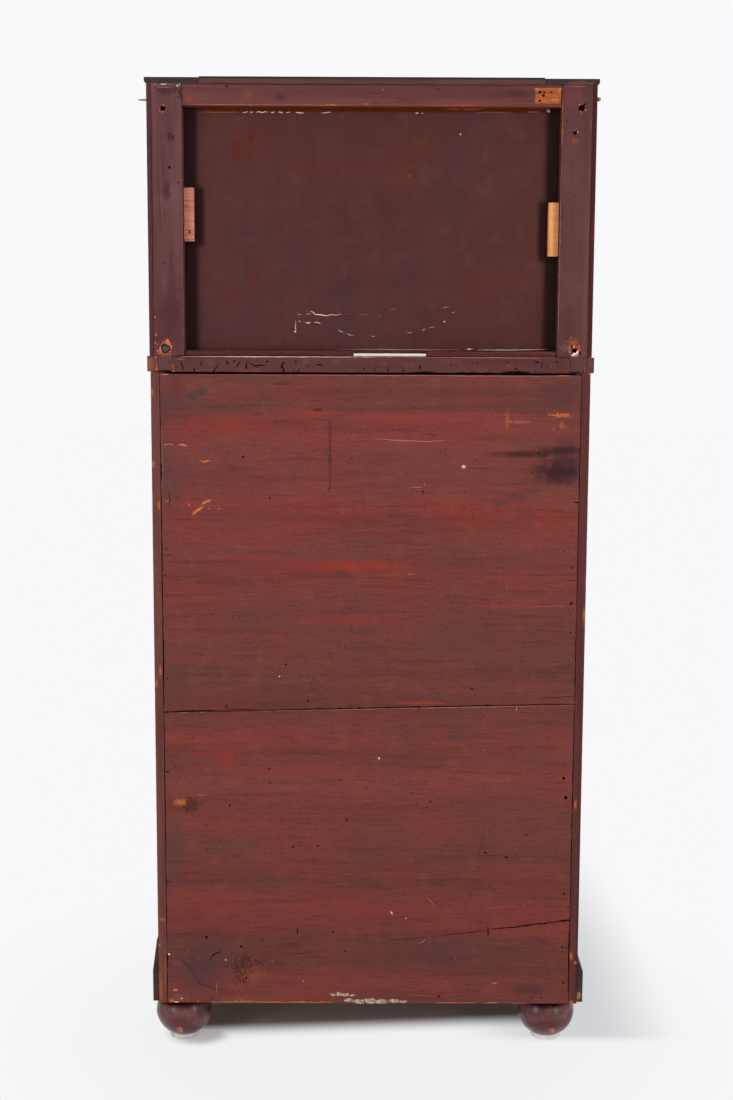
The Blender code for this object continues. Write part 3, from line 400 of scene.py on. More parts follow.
class Cuts:
    """Cracks, scratches, holes and chips: drawn as one mesh, then cut out of a piece's back face."""

    RISE = 0.0005

    def __init__(self, face_y):
        self.shape = bmesh.new()
        self.face_y = face_y

    def body(self, rings, finish):
        """Join rings of places into one closed body."""
        rings = [[self.shape.verts.new(place) for place in ring] for ring in rings]
        faces = [self.shape.faces.new(rings[0][::-1]), self.shape.faces.new(rings[-1])]
        count = len(rings[0])
        for near, far in zip(rings, rings[1:]):
            for spot in range(count):
                after = (spot + 1) % count
                faces.append(self.shape.faces.new((near[spot], near[after], far[after], far[spot])))
        for face in faces:
            face.material_index = finish

    def groove(self, finish, width_mm, depth_mm, *points_mm, sway=0.35):
        """A wandering V cut that thins out towards its ends."""
        points = [Vector(point) * MM for point in points_mm]
        line = []
        for start, end in zip(points, points[1:]):
            steps = max(2, int((end - start).length / 0.006))
            across = (end - start).normalized().orthogonal() * width_mm * MM * sway
            for spot in range(steps):
                line.append(start.lerp(end, spot / steps) + across * random.uniform(-1, 1) * (spot > 0))
        line.append(points[-1])
        rings = []
        for spot, place in enumerate(line):
            ahead = line[min(spot + 1, len(line) - 1)] - line[max(spot - 1, 0)]
            across = ahead.normalized().orthogonal()
            arch = max(0.005, math.sin(math.pi * spot / (len(line) - 1)))
            swell = arch ** 0.4 * random.uniform(0.65, 1.15)
            deep = depth_mm * MM * max(swell, 0.4)
            top = width_mm * MM * swell / 2 * (deep + self.RISE) / deep
            rings.append([
                (place.x + across.x * top, self.face_y + self.RISE, place.y + across.y * top),
                (place.x - across.x * top, self.face_y + self.RISE, place.y - across.y * top),
                (place.x, self.face_y - deep, place.y),
            ])
        self.body(rings, finish)

    def grooves(self, *groups, sway=0.35):
        """Grooves by finish; each has its width, its depth and its points."""
        for finish, *rows in groups:
            for row in rows:
                self.groove(finish, *row, sway=sway)

    def hole(self, x_mm, z_mm, radius_mm, depth_mm=6.0, finish=HOLLOW, squash=1.0):
        """A nail's or a worm's hole, not quite round."""
        angles = [math.tau * spot / 10 for spot in range(10)]
        radii = [radius_mm * MM * random.uniform(0.82, 1.15) for _ in angles]
        rings = []
        for y, share in ((self.face_y + self.RISE, 1.05), (self.face_y - depth_mm * MM, 0.7)):
            rings.append([
                (x_mm * MM + r * share * math.cos(a), y, z_mm * MM + r * share * squash * math.sin(a))
                for a, r in zip(angles, radii)
            ])
        self.body(rings, finish)

    def holes(self, *rows):
        """Worm holes, a quarter wider than given."""
        for x_mm, z_mm, radius_mm in rows:
            self.hole(x_mm, z_mm, radius_mm * 1.25)

    def chip(self, finish, x_mm, z_mm, *size_mm):
        """A flake broken out, its size across, in and up."""
        place = Vector((x_mm * MM, self.face_y, z_mm * MM))
        for vert in lump(self.shape, place, size_mm, 2, 0.45, 900):
            for face in vert.link_faces:
                face.material_index = finish

    def chips(self, *groups):
        """Chips by finish; each has its place and its size."""
        for finish, *rows in groups:
            for row in rows:
                self.chip(finish, *row)

    def torn(self, x_mm, z_mm, reach_mm, finishes, count):
        """Splinters broken out round a hole, no two alike."""
        for spot in range(count):
            turn = math.tau * (spot + random.uniform(-0.4, 0.4)) / count
            away = reach_mm * random.uniform(0.85, 1.3)
            size = reach_mm * random.uniform(0.25, 0.85)
            tall = size * random.uniform(0.7, 1.6)
            place = (x_mm + away * math.cos(turn), z_mm + away * math.sin(turn))
            self.chip(random.choice(finishes), *place, size, size * 0.4, tall)

    def cut(self, piece):
        """Cut everything out of the piece and leave its mesh final."""
        bmesh.ops.triangulate(self.shape, faces=self.shape.faces[:])
        bmesh.ops.recalc_face_normals(self.shape, faces=self.shape.faces[:])
        carve(piece, show("cutter", self.shape, *CUT_FINISHES))


def age_stain(look):
    """What time adds to the stain: worn and clouded patches, lines of grain, dirt and relief."""
    look.coats(
        (None, 5, (132, 56, 47), 0.4, 0.46, 0.72, 3.0, 0.5),
        (None, 6.5, (92, 59, 57), 0.45, 0.45, 0.72, 4.0, 0.4),
        ("X", 14, (142, 60, 50), 0.42, 0.48, 0.72, 3.0, 0.3),
        ("X", 24, (84, 48, 46), 0.4, 0.46, 0.72, 3.0, 0.3),
        (None, 38, (134, 74, 66), 0.22, 0.5, 0.72, 4.0, 0.4), ("X", 120, (78, 42, 40), 0.34, 0.5, 0.74),
        ("X", 360, (128, 78, 72), 0.2, 0.5, 0.7), ("X", 620, (70, 38, 36), 0.34, 0.52, 0.68),
        (None, 380, (52, 29, 28), 0.6, 0.66, 0.72, 1.0), (None, 90, (66, 40, 40), 0.4, 0.66, 0.76, 3.0),
    )
    look.sheen(0.5, 0.66, 9.0, "X")
    look.relief(170, 0.00022, "X")
    look.relief(24, 0.0004)


upper_low, upper_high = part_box("back_board_upper")
lower_low, lower_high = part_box("back_board_lower")
joint_drop = 0.015
joint_gap = 0.0008


def joint_z(x):
    """Height of the slanted joint between the two boards."""
    share = (upper_high.x - x) / (upper_high.x - upper_low.x)
    return lower_high.z - joint_drop * (1 - share)


def over_joint(place):
    """Bring the upper board's foot down to the joint."""
    share = (place.z - upper_low.z) / (upper_high.z - upper_low.z)
    foot = joint_z(place.x) + joint_gap
    return Vector((place.x, place.y, foot + share * (upper_high.z - foot)))


def under_joint(place):
    """Bring the lower board's head to the joint."""
    share = (place.z - lower_low.z) / (lower_high.z - lower_low.z)
    return Vector((place.x, place.y, lower_low.z + share * (joint_z(place.x) - lower_low.z)))


look = Finish("back_board_upper_finish", (116, 61, 56), 0.6)
look.height_bands(
    upper_low.z, upper_high.z, 0.03,
    (0.0, (112, 56, 51)), (0.1, (104, 58, 54)), (0.28, (108, 58, 54)), (0.38, (122, 58, 50)),
    (0.47, (114, 60, 56)), (0.58, (132, 56, 46)), (0.66, (116, 60, 55)), (0.76, (110, 60, 56)),
    (0.83, (128, 60, 52)), (0.88, (118, 58, 52)), (0.9, (88, 57, 54)), (1.0, (90, 59, 56)),
)
age_stain(look)
look.stains(
    (-290, 922, 56, 27, (54, 32, 34), 0.95, 0.7), (-298, 948, 30, 30, (66, 42, 44), 0.5),
    (-232, 947, 70, 6.5, (60, 34, 34), 0.9), (-292, 953, 56, 7.5, (54, 32, 33), 0.9),
    (-206, 998, 3.5, 14, (164, 78, 44), 0.7, 1.8, 320), (-286, 1007, 14, 4, (192, 102, 50), 0.7, 1.8, 320),
    (-288, 992, 5, 7, (176, 88, 46), 0.6, 1.8, 320), (-222, 996, 20, 2.6, (152, 100, 86), 0.5, 1.6, 300),
    (-50, 1001, 110, 7, (146, 58, 48), 0.5, 0.6), (-222, 884, 34, 6, (80, 56, 58), 0.7),
    (-196, 872, 14, 8, (82, 58, 60), 0.7), (-282, 1036, 40, 26, (84, 52, 52), 0.7),
    (254, 1040, 12, 7, (72, 60, 60), 0.9, 0.7), (265, 1033, 12, 8, (74, 58, 58), 0.85, 0.7),
    (289, 1047, 11, 16, (120, 38, 36), 0.8, 0.6), (298, 1030, 30, 42, (84, 54, 54), 0.6),
    (136, 1052, 14, 4, (78, 46, 44), 0.7), (80, 1008, 24, 4, (148, 56, 42), 0.8, 0.8),
    (80, 1013, 9, 3, (70, 38, 36), 0.7, 0.8, 150), (61, 940, 3.2, 60, (70, 42, 42), 0.75, 0.9, 110),
    (306, 890, 24, 90, (88, 58, 57), 0.6, 0.7), (296, 590, 30, 44, (88, 56, 55), 0.6),
    (70, 777, 120, 13, (142, 52, 42), 0.6, 0.6), (0, 776, 84, 11, (150, 54, 38), 0.4, 0.8),
    (190, 787, 96, 4, (140, 56, 44), 0.5, 0.6), (22, 692, 100, 13, (140, 52, 42), 0.42, 0.7),
    (-78, 563, 48, 4, (156, 62, 42), 0.6, 0.8), (-205, 715, 80, 5, (142, 60, 44), 0.5, 0.8),
    (220, 990, 90, 16, (138, 54, 44), 0.5, 0.6), (200, 845, 120, 30, (92, 60, 58), 0.4, 0.6),
    (-120, 660, 110, 26, (96, 58, 56), 0.4, 0.6),
)
shape = planed_board(upper_low, upper_high, bend=over_joint)
upper_board = show("back_boards_upper", shape, look.done(gloss=0.05))

cuts = Cuts(BACK_Y)
cuts.holes(
    (242, 989, 0.8), (192, 942, 1.4), (28, 940, 1.0), (152, 880, 1.1), (62, 895, 1.1), (-160, 938, 0.9),
    (-80, 890, 1.3), (-254, 949, 1.3), (309, 802, 1.0), (128, 622, 1.3), (310, 600, 1.0), (94, 566, 1.2),
    (-308, 719, 1.8), (-308, 774, 1.1), (-295, 799, 0.9), (-307, 701, 0.8), (-308, 674, 1.0),
    (-158, 585, 1.1), (220, 556, 1.2),
)
cuts.grooves(
    (HOLLOW, (1.8, 4, (318, 759), (309, 760)), (0.6, 0.8, (308, 760), (280, 758), (253, 757)),
     (2.2, 4, (-307, 875), (-318, 875)), (0.9, 2, (-301, 754), (-318, 756)),
     (0.5, 0.6, (-262, 748), (-300, 754)), (0.9, 1, (-96, 628), (-107, 628)),
     (0.6, 0.6, (-48, 626), (-65, 626)), (0.8, 1, (-229, 652), (-241, 652)),
     (1.1, 2, (-259, 570), (-300, 573), (-318, 575)), (1.1, 2, (-106, 954), (-106, 948)),
     (1.1, 2, (-113, 953), (-113, 947)), (1.0, 1.5, (34, 1032), (34, 1025)),
     (0.9, 1, (-74, 982), (-78, 976), (-88, 978), (-98, 975), (-101, 979))),
    (BARED, (1.5, 0.5, (315, 960), (304, 961), (294, 959)), (3.4, 1, (292, 959), (283, 960), (274, 958)),
     (2.6, 0.8, (258, 935), (250, 934), (240, 936))),
    (RUST, (1.4, 0.5, (239, 935), (222, 934))),
    (BARED, (2.4, 0.7, (312, 872), (302, 876)), (4.8, 1.2, (272, 852), (262, 860), (251, 867)),
     (4.6, 1.2, (256, 869), (248, 874), (240, 877)), (2.0, 0.5, (277, 873), (270, 864)),
     (1.6, 0.5, (247, 862), (242, 864)), (2.0, 0.5, (233, 861), (225, 864))),
    (RUST, (1.6, 0.4, (126, 878), (112, 877), (101, 878)), (1.0, 0.4, (-8, 762), (-30, 763), (-52, 763))),
    (BARED, (2.2, 0.6, (-54, 763), (-70, 763))),
    (RUST, (0.9, 0.3, (-180, 1006), (-215, 1007), (-262, 1006))),
    (BARED, (2.2, 0.5, (-264, 1006), (-286, 1007)), (1.5, 0.4, (-275, 1004), (-276, 995))),
    (RUST, (1.6, 0.4, (-243, 994), (-257, 996)), (1.1, 0.3, (-197, 1003), (-198, 981)),
     (1.3, 0.4, (-243, 713), (-275, 715), (-303, 715))),
    (RUBBED, (1.3, 0.3, (-4, 970), (-57, 967), (-90, 966), (-116, 969)), (0.9, 0.3, (-58, 896), (-83, 897)),
     (0.5, 0.2, (-209, 757), (-210, 742), (-208, 728)),
     (1.1, 0.4, (300, 1064.6), (100, 1065), (-100, 1065), (-310, 1064.6))),
    (HOLLOW, (2.6, 9, (317, 546.8), (285, 548.6), (260, 549.6), (236, 550.4)),
     (0.9, 6, (238, 550.6), (236, 548.4), (228, 549.6), (190, 551.2)),
     (1.2, 3, (222, 553), (200, 552), (165, 551.4)),
     (1.3, 6, (316.2, 1062), (316.5, 1000), (316.2, 936)), (2.6, 6, (316, 934), (315.8, 900)),
     (1.7, 6, (316.4, 896), (316, 780), (316.2, 700)), (2.2, 6, (316, 700), (315.8, 610), (316.2, 552)),
     (1.1, 6, (-316.4, 1060), (-316.2, 900), (-316.4, 700)), (1.4, 6, (-316.2, 698), (-316.4, 566)),
     (1.2, 2, (315, 792), (304, 791), (300, 794)), (1.4, 1, (306, 888), (303, 874), (306, 866))),
    (RUBBED, (0.7, 0.4, (312, 905), (300, 904)), (0.7, 0.4, (314, 990), (313, 940), (314.4, 880))),
    (HOLLOW, (2.0, 9, (188, 549.5), (120, 551.6), (-2, 554.6), (-120, 557.5), (-317, 562))),
)
cuts.chips(
    (CHALK, (-141, 928, 6, 1.6, 5)), (RUBBED, (-82, 901, 2.4, 0.6, 2.6)), (CHALK, (138, 604, 2.2, 0.8, 2.2)),
    (BARED, (-276, 986, 2.2, 0.6, 2.2), (309, 1066, 14, 2, 3.4), (-290, 1066, 24, 2, 2.6)),
)
cuts.cut(upper_board)
stand_for(upper_board, "carcass", "stained_pine", "back_board_upper")

look = Finish("back_board_lower_finish", (106, 58, 54), 0.6)
look.height_bands(
    lower_low.z, lower_high.z, 0.035,
    (0.0, (98, 57, 54)), (0.12, (94, 56, 53)), (0.2, (98, 56, 52)), (0.27, (118, 55, 50)),
    (0.4, (112, 56, 51)), (0.52, (106, 58, 54)), (0.66, (104, 58, 54)), (0.74, (118, 62, 56)),
    (0.8, (108, 58, 53)), (0.88, (120, 58, 51)), (0.94, (110, 57, 52)), (1.0, (116, 58, 52)),
)
age_stain(look)
look.stains(
    (-142, 510, 26, 14, (84, 58, 58), 0.6), (277, 398, 17, 14, (70, 42, 30), 0.75, 0.9, 160),
    (293, 404, 13, 7, (176, 92, 40), 0.85, 0.9, 190), (222, 475, 24, 24, (138, 56, 44), 0.6),
    (120, 172, 24, 7, (72, 42, 40), 0.65), (196, 122, 44, 32, (118, 66, 50), 0.6, 0.9, 120),
    (196, 143, 26, 13, (62, 34, 30), 0.6, 2.2, 200), (200, 124, 14, 16, (56, 30, 27), 0.6, 2.2, 240),
    (183, 122, 22, 14, (134, 70, 48), 0.4, 2.2, 220), (301, 142, 9, 6, (136, 74, 66), 0.6, 1.2, 300),
    (188, 84, 60, 8, (126, 72, 54), 0.4, 1.4, 220), (196, 79, 22, 3.4, (168, 98, 62), 0.7, 1.6, 320),
    (298, 84, 16, 10, (134, 78, 56), 0.6, 1.7, 340), (262, 92, 26, 14, (122, 70, 54), 0.45, 1.8, 300),
    (294, 150, 20, 26, (114, 66, 58), 0.45, 1.2, 160), (262, 130, 54, 56, (82, 53, 55), 0.7),
    (-258, 100, 40, 14, (74, 46, 46), 0.6), (-22, 230, 70, 14, (126, 52, 48), 0.6),
    (304, 330, 22, 90, (88, 58, 57), 0.6, 0.7), (116, 455, 150, 14, (128, 58, 50), 0.5, 0.6),
    (250, 482, 36, 6, (130, 46, 38), 0.6, 0.6), (-190, 410, 120, 40, (92, 58, 56), 0.35, 0.6),
    (-60, 150, 170, 26, (88, 54, 52), 0.5, 0.7),
)
shape = planed_board(lower_low, lower_high, bend=under_joint)
lower_board = show("back_boards_lower", shape, look.done(gloss=0.05))

cuts = Cuts(BACK_Y)
cuts.holes(
    (272, 506, 0.9), (284, 491, 0.8), (299, 461, 0.9), (154, 457, 1.2), (153, 434, 1.1), (189, 416, 0.8),
    (216, 399, 1.3), (34, 377, 1.2), (118, 332, 1.2), (79, 334, 1.2), (-302, 444, 1.9), (-306, 413, 2.2),
    (-124, 445, 0.9), (-66, 420, 0.8), (-74, 402, 0.8), (-96, 406, 1.1), (-91, 397, 1.1), (-182, 324, 1.5),
    (-215, 317, 1.3), (-246, 353, 1.0), (-277, 317, 0.9), (254, 185, 1.9), (55, 194, 1.2), (37, 163, 1.1),
    (200, 170, 1.4), (166, 181, 1.1), (-307, 258, 1.3), (-313, 236, 1.1), (-305, 171, 1.2), (-312, 170, 1.0),
    (-308, 112, 1.4), (-112, 89, 1.4), (-258, 87, 1.1), (-274, 87, 1.0), (192, 118, 1.3), (196, 112, 1.0),
)
cuts.grooves(
    (HOLLOW, (2.6, 7, (-319, 215), (-290, 211), (-250, 206), (-190, 199)),
     (1.5, 4, (-188, 198), (-150, 193), (-110, 188)), (0.8, 1.5, (-108, 188), (-70, 184), (-31, 181)),
     (2.4, 4, (-188, 205), (-188, 187)), (2.6, 4, (111, 202), (111, 189)),
     (1.6, 3, (319, 275), (307, 275)), (0.9, 2, (319, 228), (304, 228)), (1.1, 2, (319, 195), (310, 195)),
     (2.0, 3, (249, 146), (247, 153), (241, 158), (228, 164)), (1.1, 1.2, (124, 158), (100, 159), (84, 163)),
     (3.0, 4, (318, 452), (308, 452)),
     (0.9, 1, (314, 158), (291, 147), (279, 132), (272, 118), (263, 108), (240, 100), (208, 96)),
     (0.7, 0.6, (-182, 385), (-176, 336), (-169, 311)), (1.2, 1, (50, 441), (38, 441)),
     (1.2, 2, (-300, 172), (-312, 168))),
    (RUBBED, (1.2, 0.4, (101, 351), (86, 352)), (0.9, 0.3, (273, 415), (247, 415))),
    (RUST, (1.1, 0.3, (64, 435), (30, 437), (-4, 436))), (CHALK, (3.0, 0.6, (-14, 478), (-17, 472))),
    (RUBBED, (1.3, 0.3, (-178, 495), (-179, 481))),
    (CHALK, (1.2, 0.4, (-227, 558), (-227, 550)), (2.8, 0.6, (-34, 229), (-38, 222))),
    (RUBBED, (1.2, 0.3, (-92, 251), (-99, 244), (-108, 232))),
    (RUST, (1.2, 0.3, (-178, 232), (-205, 235), (-236, 238))),
    (RUBBED, (1.4, 0.3, (-238, 239), (-252, 239)), (0.9, 0.3, (-77, 176), (-86, 178), (-91, 185))),
    (BARED, (2.8, 0.6, (-193, 111), (-208, 112))), (RUST, (1.0, 0.4, (-116, 88), (-60, 92))),
    (RUBBED, (0.9, 0.4, (290, 159), (277, 167)), (0.8, 0.4, (271, 157), (263, 144)),
     (0.9, 0.4, (239, 112), (238.6, 88))),
    (RUST, (1.6, 0.8, (269, 84), (268.6, 79))), (RUBBED, (2.2, 1.5, (250, 77.8), (212, 78), (180, 78))),
    (BARED, (2.8, 2, (184, 78.2), (120, 78.2), (52, 78.6)), (1.6, 1, (-104, 78), (-150, 78.2), (-176, 78)),
     (3.0, 1.5, (-180, 78), (-206, 78))),
    (RUBBED, (1.4, 1, (-210, 78), (-256, 78))),
    (HOLLOW, (1.5, 6, (315.8, 540), (316.2, 420), (316, 300)), (1.2, 6, (316, 298), (316.3, 180)),
     (2.4, 6, (315.8, 160), (315.6, 134)), (1.1, 6, (315.6, 132), (316.2, 84)),
     (1.4, 6, (-316, 556), (-316.3, 380), (-316.2, 230)), (1.8, 6, (-316, 226), (-315.8, 150), (-316.2, 84))),
    (RUST, (1.0, 0.4, (249, 96), (248, 110))),
    (HOLLOW, (3.6, 7, (-321, 215.6), (-308, 213.6), (-296, 212.2)), (2.0, 1.5, (198, 166), (197, 172))),
    (RUBBED, (1.6, 0.6, (314, 545), (250, 548), (190, 550)),
     (1.6, 0.6, (188, 548.5), (120, 550.2), (-2, 553), (-120, 556), (-316, 560))),
)
cuts.chips(
    (CHALK, (224, 148, 2.4, 0.8, 2.6)),
    (RUBBED, (151, 165, 2.2, 0.8, 2.0), (151, 146, 2.2, 0.8, 2.0), (102, 113, 3, 0.8, 4)),
    (CHALK, (294, 84, 3, 1, 3.2), (313, 157, 4, 1.4, 2.6), (-59, 217, 2.4, 0.8, 2.4)),
    (RUBBED, (-138, 152, 2, 0.8, 2)), (BARED, (304, 98, 8, 1, 4), (310, 80, 9, 1.2, 5)),
    (CHALK, (302, 78, 7, 1.2, 2.6)), (HOLLOW, (247, 84, 4, 1, 4)),
    (BARED, (293, 404, 12, 1.4, 5)), (RUST, (268, 79, 5, 1, 5)), (RUBBED, (286, 92, 2, 0.6, 2)),
)
cuts.cut(lower_board)
stand_for(lower_board, "carcass", "stained_pine", "back_board_lower")

# Plaster crust. Pale plaster or putty, squeezed along the broken bottom edge of the lower board.
# It has set in rough lumps that stand a little proud of the back.
crust = bmesh.new()
for x_mm, z_mm, *size_mm in (
    (54, 91, 14, 3, 5), (46, 92, 10, 3, 7), (36, 91, 16, 3, 5), (24, 90, 10, 2, 4), (30, 82, 16, 4, 6),
    (14, 80, 20, 5, 7), (-4, 81, 18, 5, 8), (-22, 80, 20, 5, 7), (-40, 81, 18, 4, 6), (-56, 80, 14, 3, 5),
):
    place = Vector((x_mm * MM, BACK_Y - 0.0006, z_mm * MM))
    for vert in lump(crust, place, size_mm, 3, 0.7, 700):
        vert.co.z = max(vert.co.z, lower_low.z - 0.001)
look = Finish("plaster", (198, 178, 160), 0.9)
look.streaks(None, 300, (150, 104, 76), 0.9, 0.44, 0.56)
look.streaks(None, 420, (96, 66, 54), 0.7, 0.58, 0.66)
look.relief(600, 0.0006)
plaster_crust = show("plaster_crust", crust, look.done(gloss=0.2))
stand_for(plaster_crust, "carcass", "raw_pine")

# Plinth. A moulding with a sloped top, mitred round the front and stopped off square at the back,
# stained black, glued to the case and knocked bare at its back ends. The thin top has broken off
# along the left side, a hand's width from the back.
PLINTH_PROFILE_MM = ((0, 0), (8.5, 0), (8.5, 50), (1.5, 102), (0, 102))
BREAK_MM = ((10, 47), (-0.5, 70))
BREAK_RUN = ((0.002, 0), (-0.1, 5), (-0.16, 54))
low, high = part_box("plinth")
proud = 0.0085
inside_x = high.x - proud
front_y = low.y + proud
moulding = bmesh.new()
rings = []
for x, y, across, ahead in (
    (-inside_x, high.y, -1, 0), (-inside_x, front_y, -1, 1),
    (inside_x, front_y, 1, 1), (inside_x, high.y, 1, 0),
):
    ring = [(x + across * out * MM, y - ahead * out * MM, low.z + up * MM) for out, up in PLINTH_PROFILE_MM]
    rings.append([moulding.verts.new(place) for place in ring])
for near, far in zip(rings, rings[1:]):
    for corner in range(len(near)):
        moulding.faces.new((near[corner - 1], near[corner], far[corner], far[corner - 1]))
moulding.faces.new(rings[0])
moulding.faces.new(rings[-1])
bmesh.ops.recalc_face_normals(moulding, faces=moulding.faces[:])
bmesh.ops.bevel(moulding, geom=moulding.edges[:], offset=0.0006, segments=2, affect="EDGES", profile=0.5)
look = Finish("ebonised_plinth", (64, 47, 45), 0.4)
look.streaks("X", 30, (44, 31, 30), 0.7)
look.streaks(None, 14, (92, 66, 60), 0.5, 0.5, 0.7, 4.0)
look.rub(low, high, 0.0014, (150, 92, 60), 0.7)
look.spot((-333, 213, 90), (4, 8, 8), (150, 104, 80), 0.9, 0.6, 200)
look.sheen(0.36, 0.54)
look.relief(90, 0.00025)
look.dull_behind(STAINED_EDGE_Y, 0.15)
plinth = show("plinth_moulding", moulding, look.done(0.1, 0.26))
broken_off = bmesh.new()
for from_back, climb in BREAK_RUN:
    for out, up in BREAK_MM:
        for z in (low.z + (up + climb) * MM, high.z + 0.06):
            broken_off.verts.new((-inside_x - out * MM, high.y + from_back, z))
bmesh.ops.convex_hull(broken_off, input=broken_off.verts[:])
look = Finish("broken_plinth_wood", (78, 50, 44), 0.7)
look.streaks("Y", 160, (50, 32, 28), 0.7)
look.relief(300, 0.0004, "Y")
carve(plinth, show("cutter", broken_off, look.done(gloss=0.1)))
stand_for(plinth, "carcass", "ebonised", "plinth")

# Bun feet. Turned beech stained and polished like the case, spigoted into the bottom board, each
# standing on a pale glide that was let into its sole later.
FOOT_SIDES = 72
BUN_MM = (
    (0, 9), (22.5, 9), (27.5, 11.7), (31.9, 15.2), (35.7, 19.2), (39, 24), (41.7, 29.4), (43.9, 35.5),
    (45, 41), (44.9, 47), (44, 53), (42.6, 58), (41, 63), (39.3, 68), (37.6, 72.6), (36, 76.7),
    (11, 76.7), (11, 88.7), (0, 88.7),
)
GLIDE_MM = (
    (0, 0), (20, 0), (22.8, 0.8), (23.5, 2.2), (23.5, 3.8), (22.6, 4.3), (22.6, 4.9), (23.5, 5.4), (23.5, 7.4),
    (22.6, 8.5), (21.5, 8.9), (0, 8.9),
)


def turned(profile_mm, sides, centre):
    """Spin a profile of (radius, height) round an upright axis."""
    shape = bmesh.new()
    points = [shape.verts.new((radius * MM, 0, height * MM)) for radius, height in profile_mm]
    edges = [shape.edges.new(pair) for pair in zip(points, points[1:])]
    bmesh.ops.spin(
        shape, geom=points + edges, cent=(0, 0, 0), axis=(0, 0, 1), angle=math.tau, steps=sides, use_merge=True
    )
    bmesh.ops.remove_doubles(shape, verts=shape.verts, dist=0.00001)
    bmesh.ops.recalc_face_normals(shape, faces=shape.faces[:])
    bmesh.ops.translate(shape, vec=centre, verts=shape.verts)
    return shape


def smooth(piece):
    """Shade round faces smooth and keep the sharp edges."""
    piece.data.shade_smooth()
    piece.data.set_sharp_from_angle(angle=math.radians(35))


def glassy_glide():
    """Pale, slightly clear moulded glide, scuffed by the floor."""
    look = Finish("glide", (250, 246, 243), 0.12)
    look.streaks(None, 120, (226, 214, 206), 0.5)
    look.relief(300, 0.00005)
    look.shader.inputs["Transmission Weight"].default_value = 0.55
    look.shader.inputs["IOR"].default_value = 1.45
    return look.done()


glide_finish = glassy_glide()
for word in ("front_left", "front_right", "back_left", "back_right"):
    low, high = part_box(f"foot_{word}")
    centre = Vector(((low.x + high.x) / 2, (low.y + high.y) / 2, 0))
    look = Finish(f"foot_{word}_finish", (104, 54, 52), 0.34)
    look.streaks("X", 22, (56, 26, 26), 0.8, 0.44, 0.62, 4.0, 0.5)
    look.streaks(None, 34, (136, 84, 82), 0.5, 0.52, 0.7)
    look.streaks("X", 260, (48, 22, 21), 0.4, 0.54, 0.68)
    middle = centre * 1000
    knock = (middle.x + (3 if centre.x > 0 else -8), middle.y + 38, 22)
    look.spot((middle.x + 2, middle.y + 44, 38), (22, 16, 11), (84, 24, 24), 0.85, 0.6)
    look.spot(knock, (5, 8, 8), (184, 100, 62), 0.9, 0.7, 150)
    look.spot((knock[0] + 5, knock[1] + 3, 26), (4, 6, 3), (150, 76, 46), 0.8, 0.9, 200)
    # Painted highlight: a thin pale streak low on the flank of each foot, along a scratch.
    look.spot((middle.x + 27, middle.y + 26, 22), (7, 9, 1.6), (170, 148, 160), 0.6, 0.6, 200)
    # Painted shade: the top of each foot, under the overhanging case, is coloured nearly black, and its gloss
    # fades out there.
    look.patch((low.x, low.y, 0.07), (high.x, high.y, high.z), 0.011, (20, 11, 11), 0.9)
    look.spot((middle.x, middle.y, 78), (33, 90, 22), (20, 11, 11), 0.95, 0.35)
    look.polish = look.between(look.axis("Z"), 0.056, 0.066, 1.0, 0.0)
    look.sheen(0.3, 0.46, 40)
    look.relief(38, 0.0006)
    bun_finish = look.done(0.34, 0.24, gloss=0.2)
    for name, profile_mm, finish in (("bun", BUN_MM, bun_finish), ("glide", GLIDE_MM, glide_finish)):
        piece = show(f"{name}_{word}", turned(profile_mm, FOOT_SIDES, centre), finish)
        smooth(piece)
        stand_for(piece, "carcass", "polished_mahogany", f"foot_{word}")

# Chest top. A mahogany board over the case, rounded in front and at the sides. Its back edge is
# soft old wood, full of worm tracks, notched for the post tenons and broken at the ends.
NOTCH_X = (0.2967, 0.3193)
NOSE = 0.0035
PIVOT_HOLE_RADIUS = 0.0033
PIVOT_HOLE_DEPTH = 0.0168
WORM_TRACKS_MM = (
    ((253, 1086), (255, 1077)), ((228, 1081), (233, 1074), (238, 1066)), ((216, 1087), (212, 1080)),
    ((196, 1085), (202, 1075)), ((184, 1086), (186, 1080), (188, 1073)),
    ((183, 1085), (175, 1079), (157, 1080)), ((130, 1086), (134, 1079), (130, 1075), (131, 1066)),
    ((116, 1073), (115, 1068)), ((107, 1075), (110, 1066)), ((82, 1081), (70, 1078)),
    ((-73, 1082), (-73, 1073)), ((-62, 1068), (-77, 1070), (-91, 1068)),
    ((-201, 1068), (-211, 1070), (-225, 1069), (-236, 1068)), ((-244, 1087), (-254, 1086)),
    ((-5, 1068), (-14, 1069)),
)
low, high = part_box("chest_top")
shape = planed_board(low, high, arris=0.0012)
for vert in shape.verts:
    for axis, edge, side in ((0, low.x, 1), (0, high.x, -1), (1, low.y, 1)):
        upright = abs(vert.co.z - (low.z + high.z) / 2) / (high.z - low.z) * 2
        if (vert.co[axis] - edge) * side < NOSE:
            vert.co[axis] += side * NOSE * max(0.0, upright - 0.45) ** 2 * 3
look = Finish("chest_top_finish", (96, 44, 34), 0.34)
look.streaks("X", 8, (64, 28, 23), 0.8, 0.42, 0.62, 4.0, 0.5)
look.streaks("X", 330, (40, 16, 14), 0.5, 0.56, 0.68)
look.matt_behind(BACK_Y - 0.0016, (90, 52, 51))
look.streaks("X", 60, (64, 33, 32), 0.4)
look.streaks(None, 55, (116, 74, 70), 0.35, 0.52, 0.7, 4.0)
look.stains(
    (332, 1081, 11, 18, (136, 82, 60), 0.85, 0.3), (-331, 1084, 8, 10, (116, 74, 68), 0.5),
    (185, 1070, 18, 3, (120, 62, 48), 0.7), deep_mm=5,
)
look.sheen(0.34, 0.56)
look.relief(120, 0.0002, "X")
chest_top = show("waist_board", shape, look.done(0.12, 0.2))
tools = bmesh.new()
post_front_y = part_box("post_right")[0].y
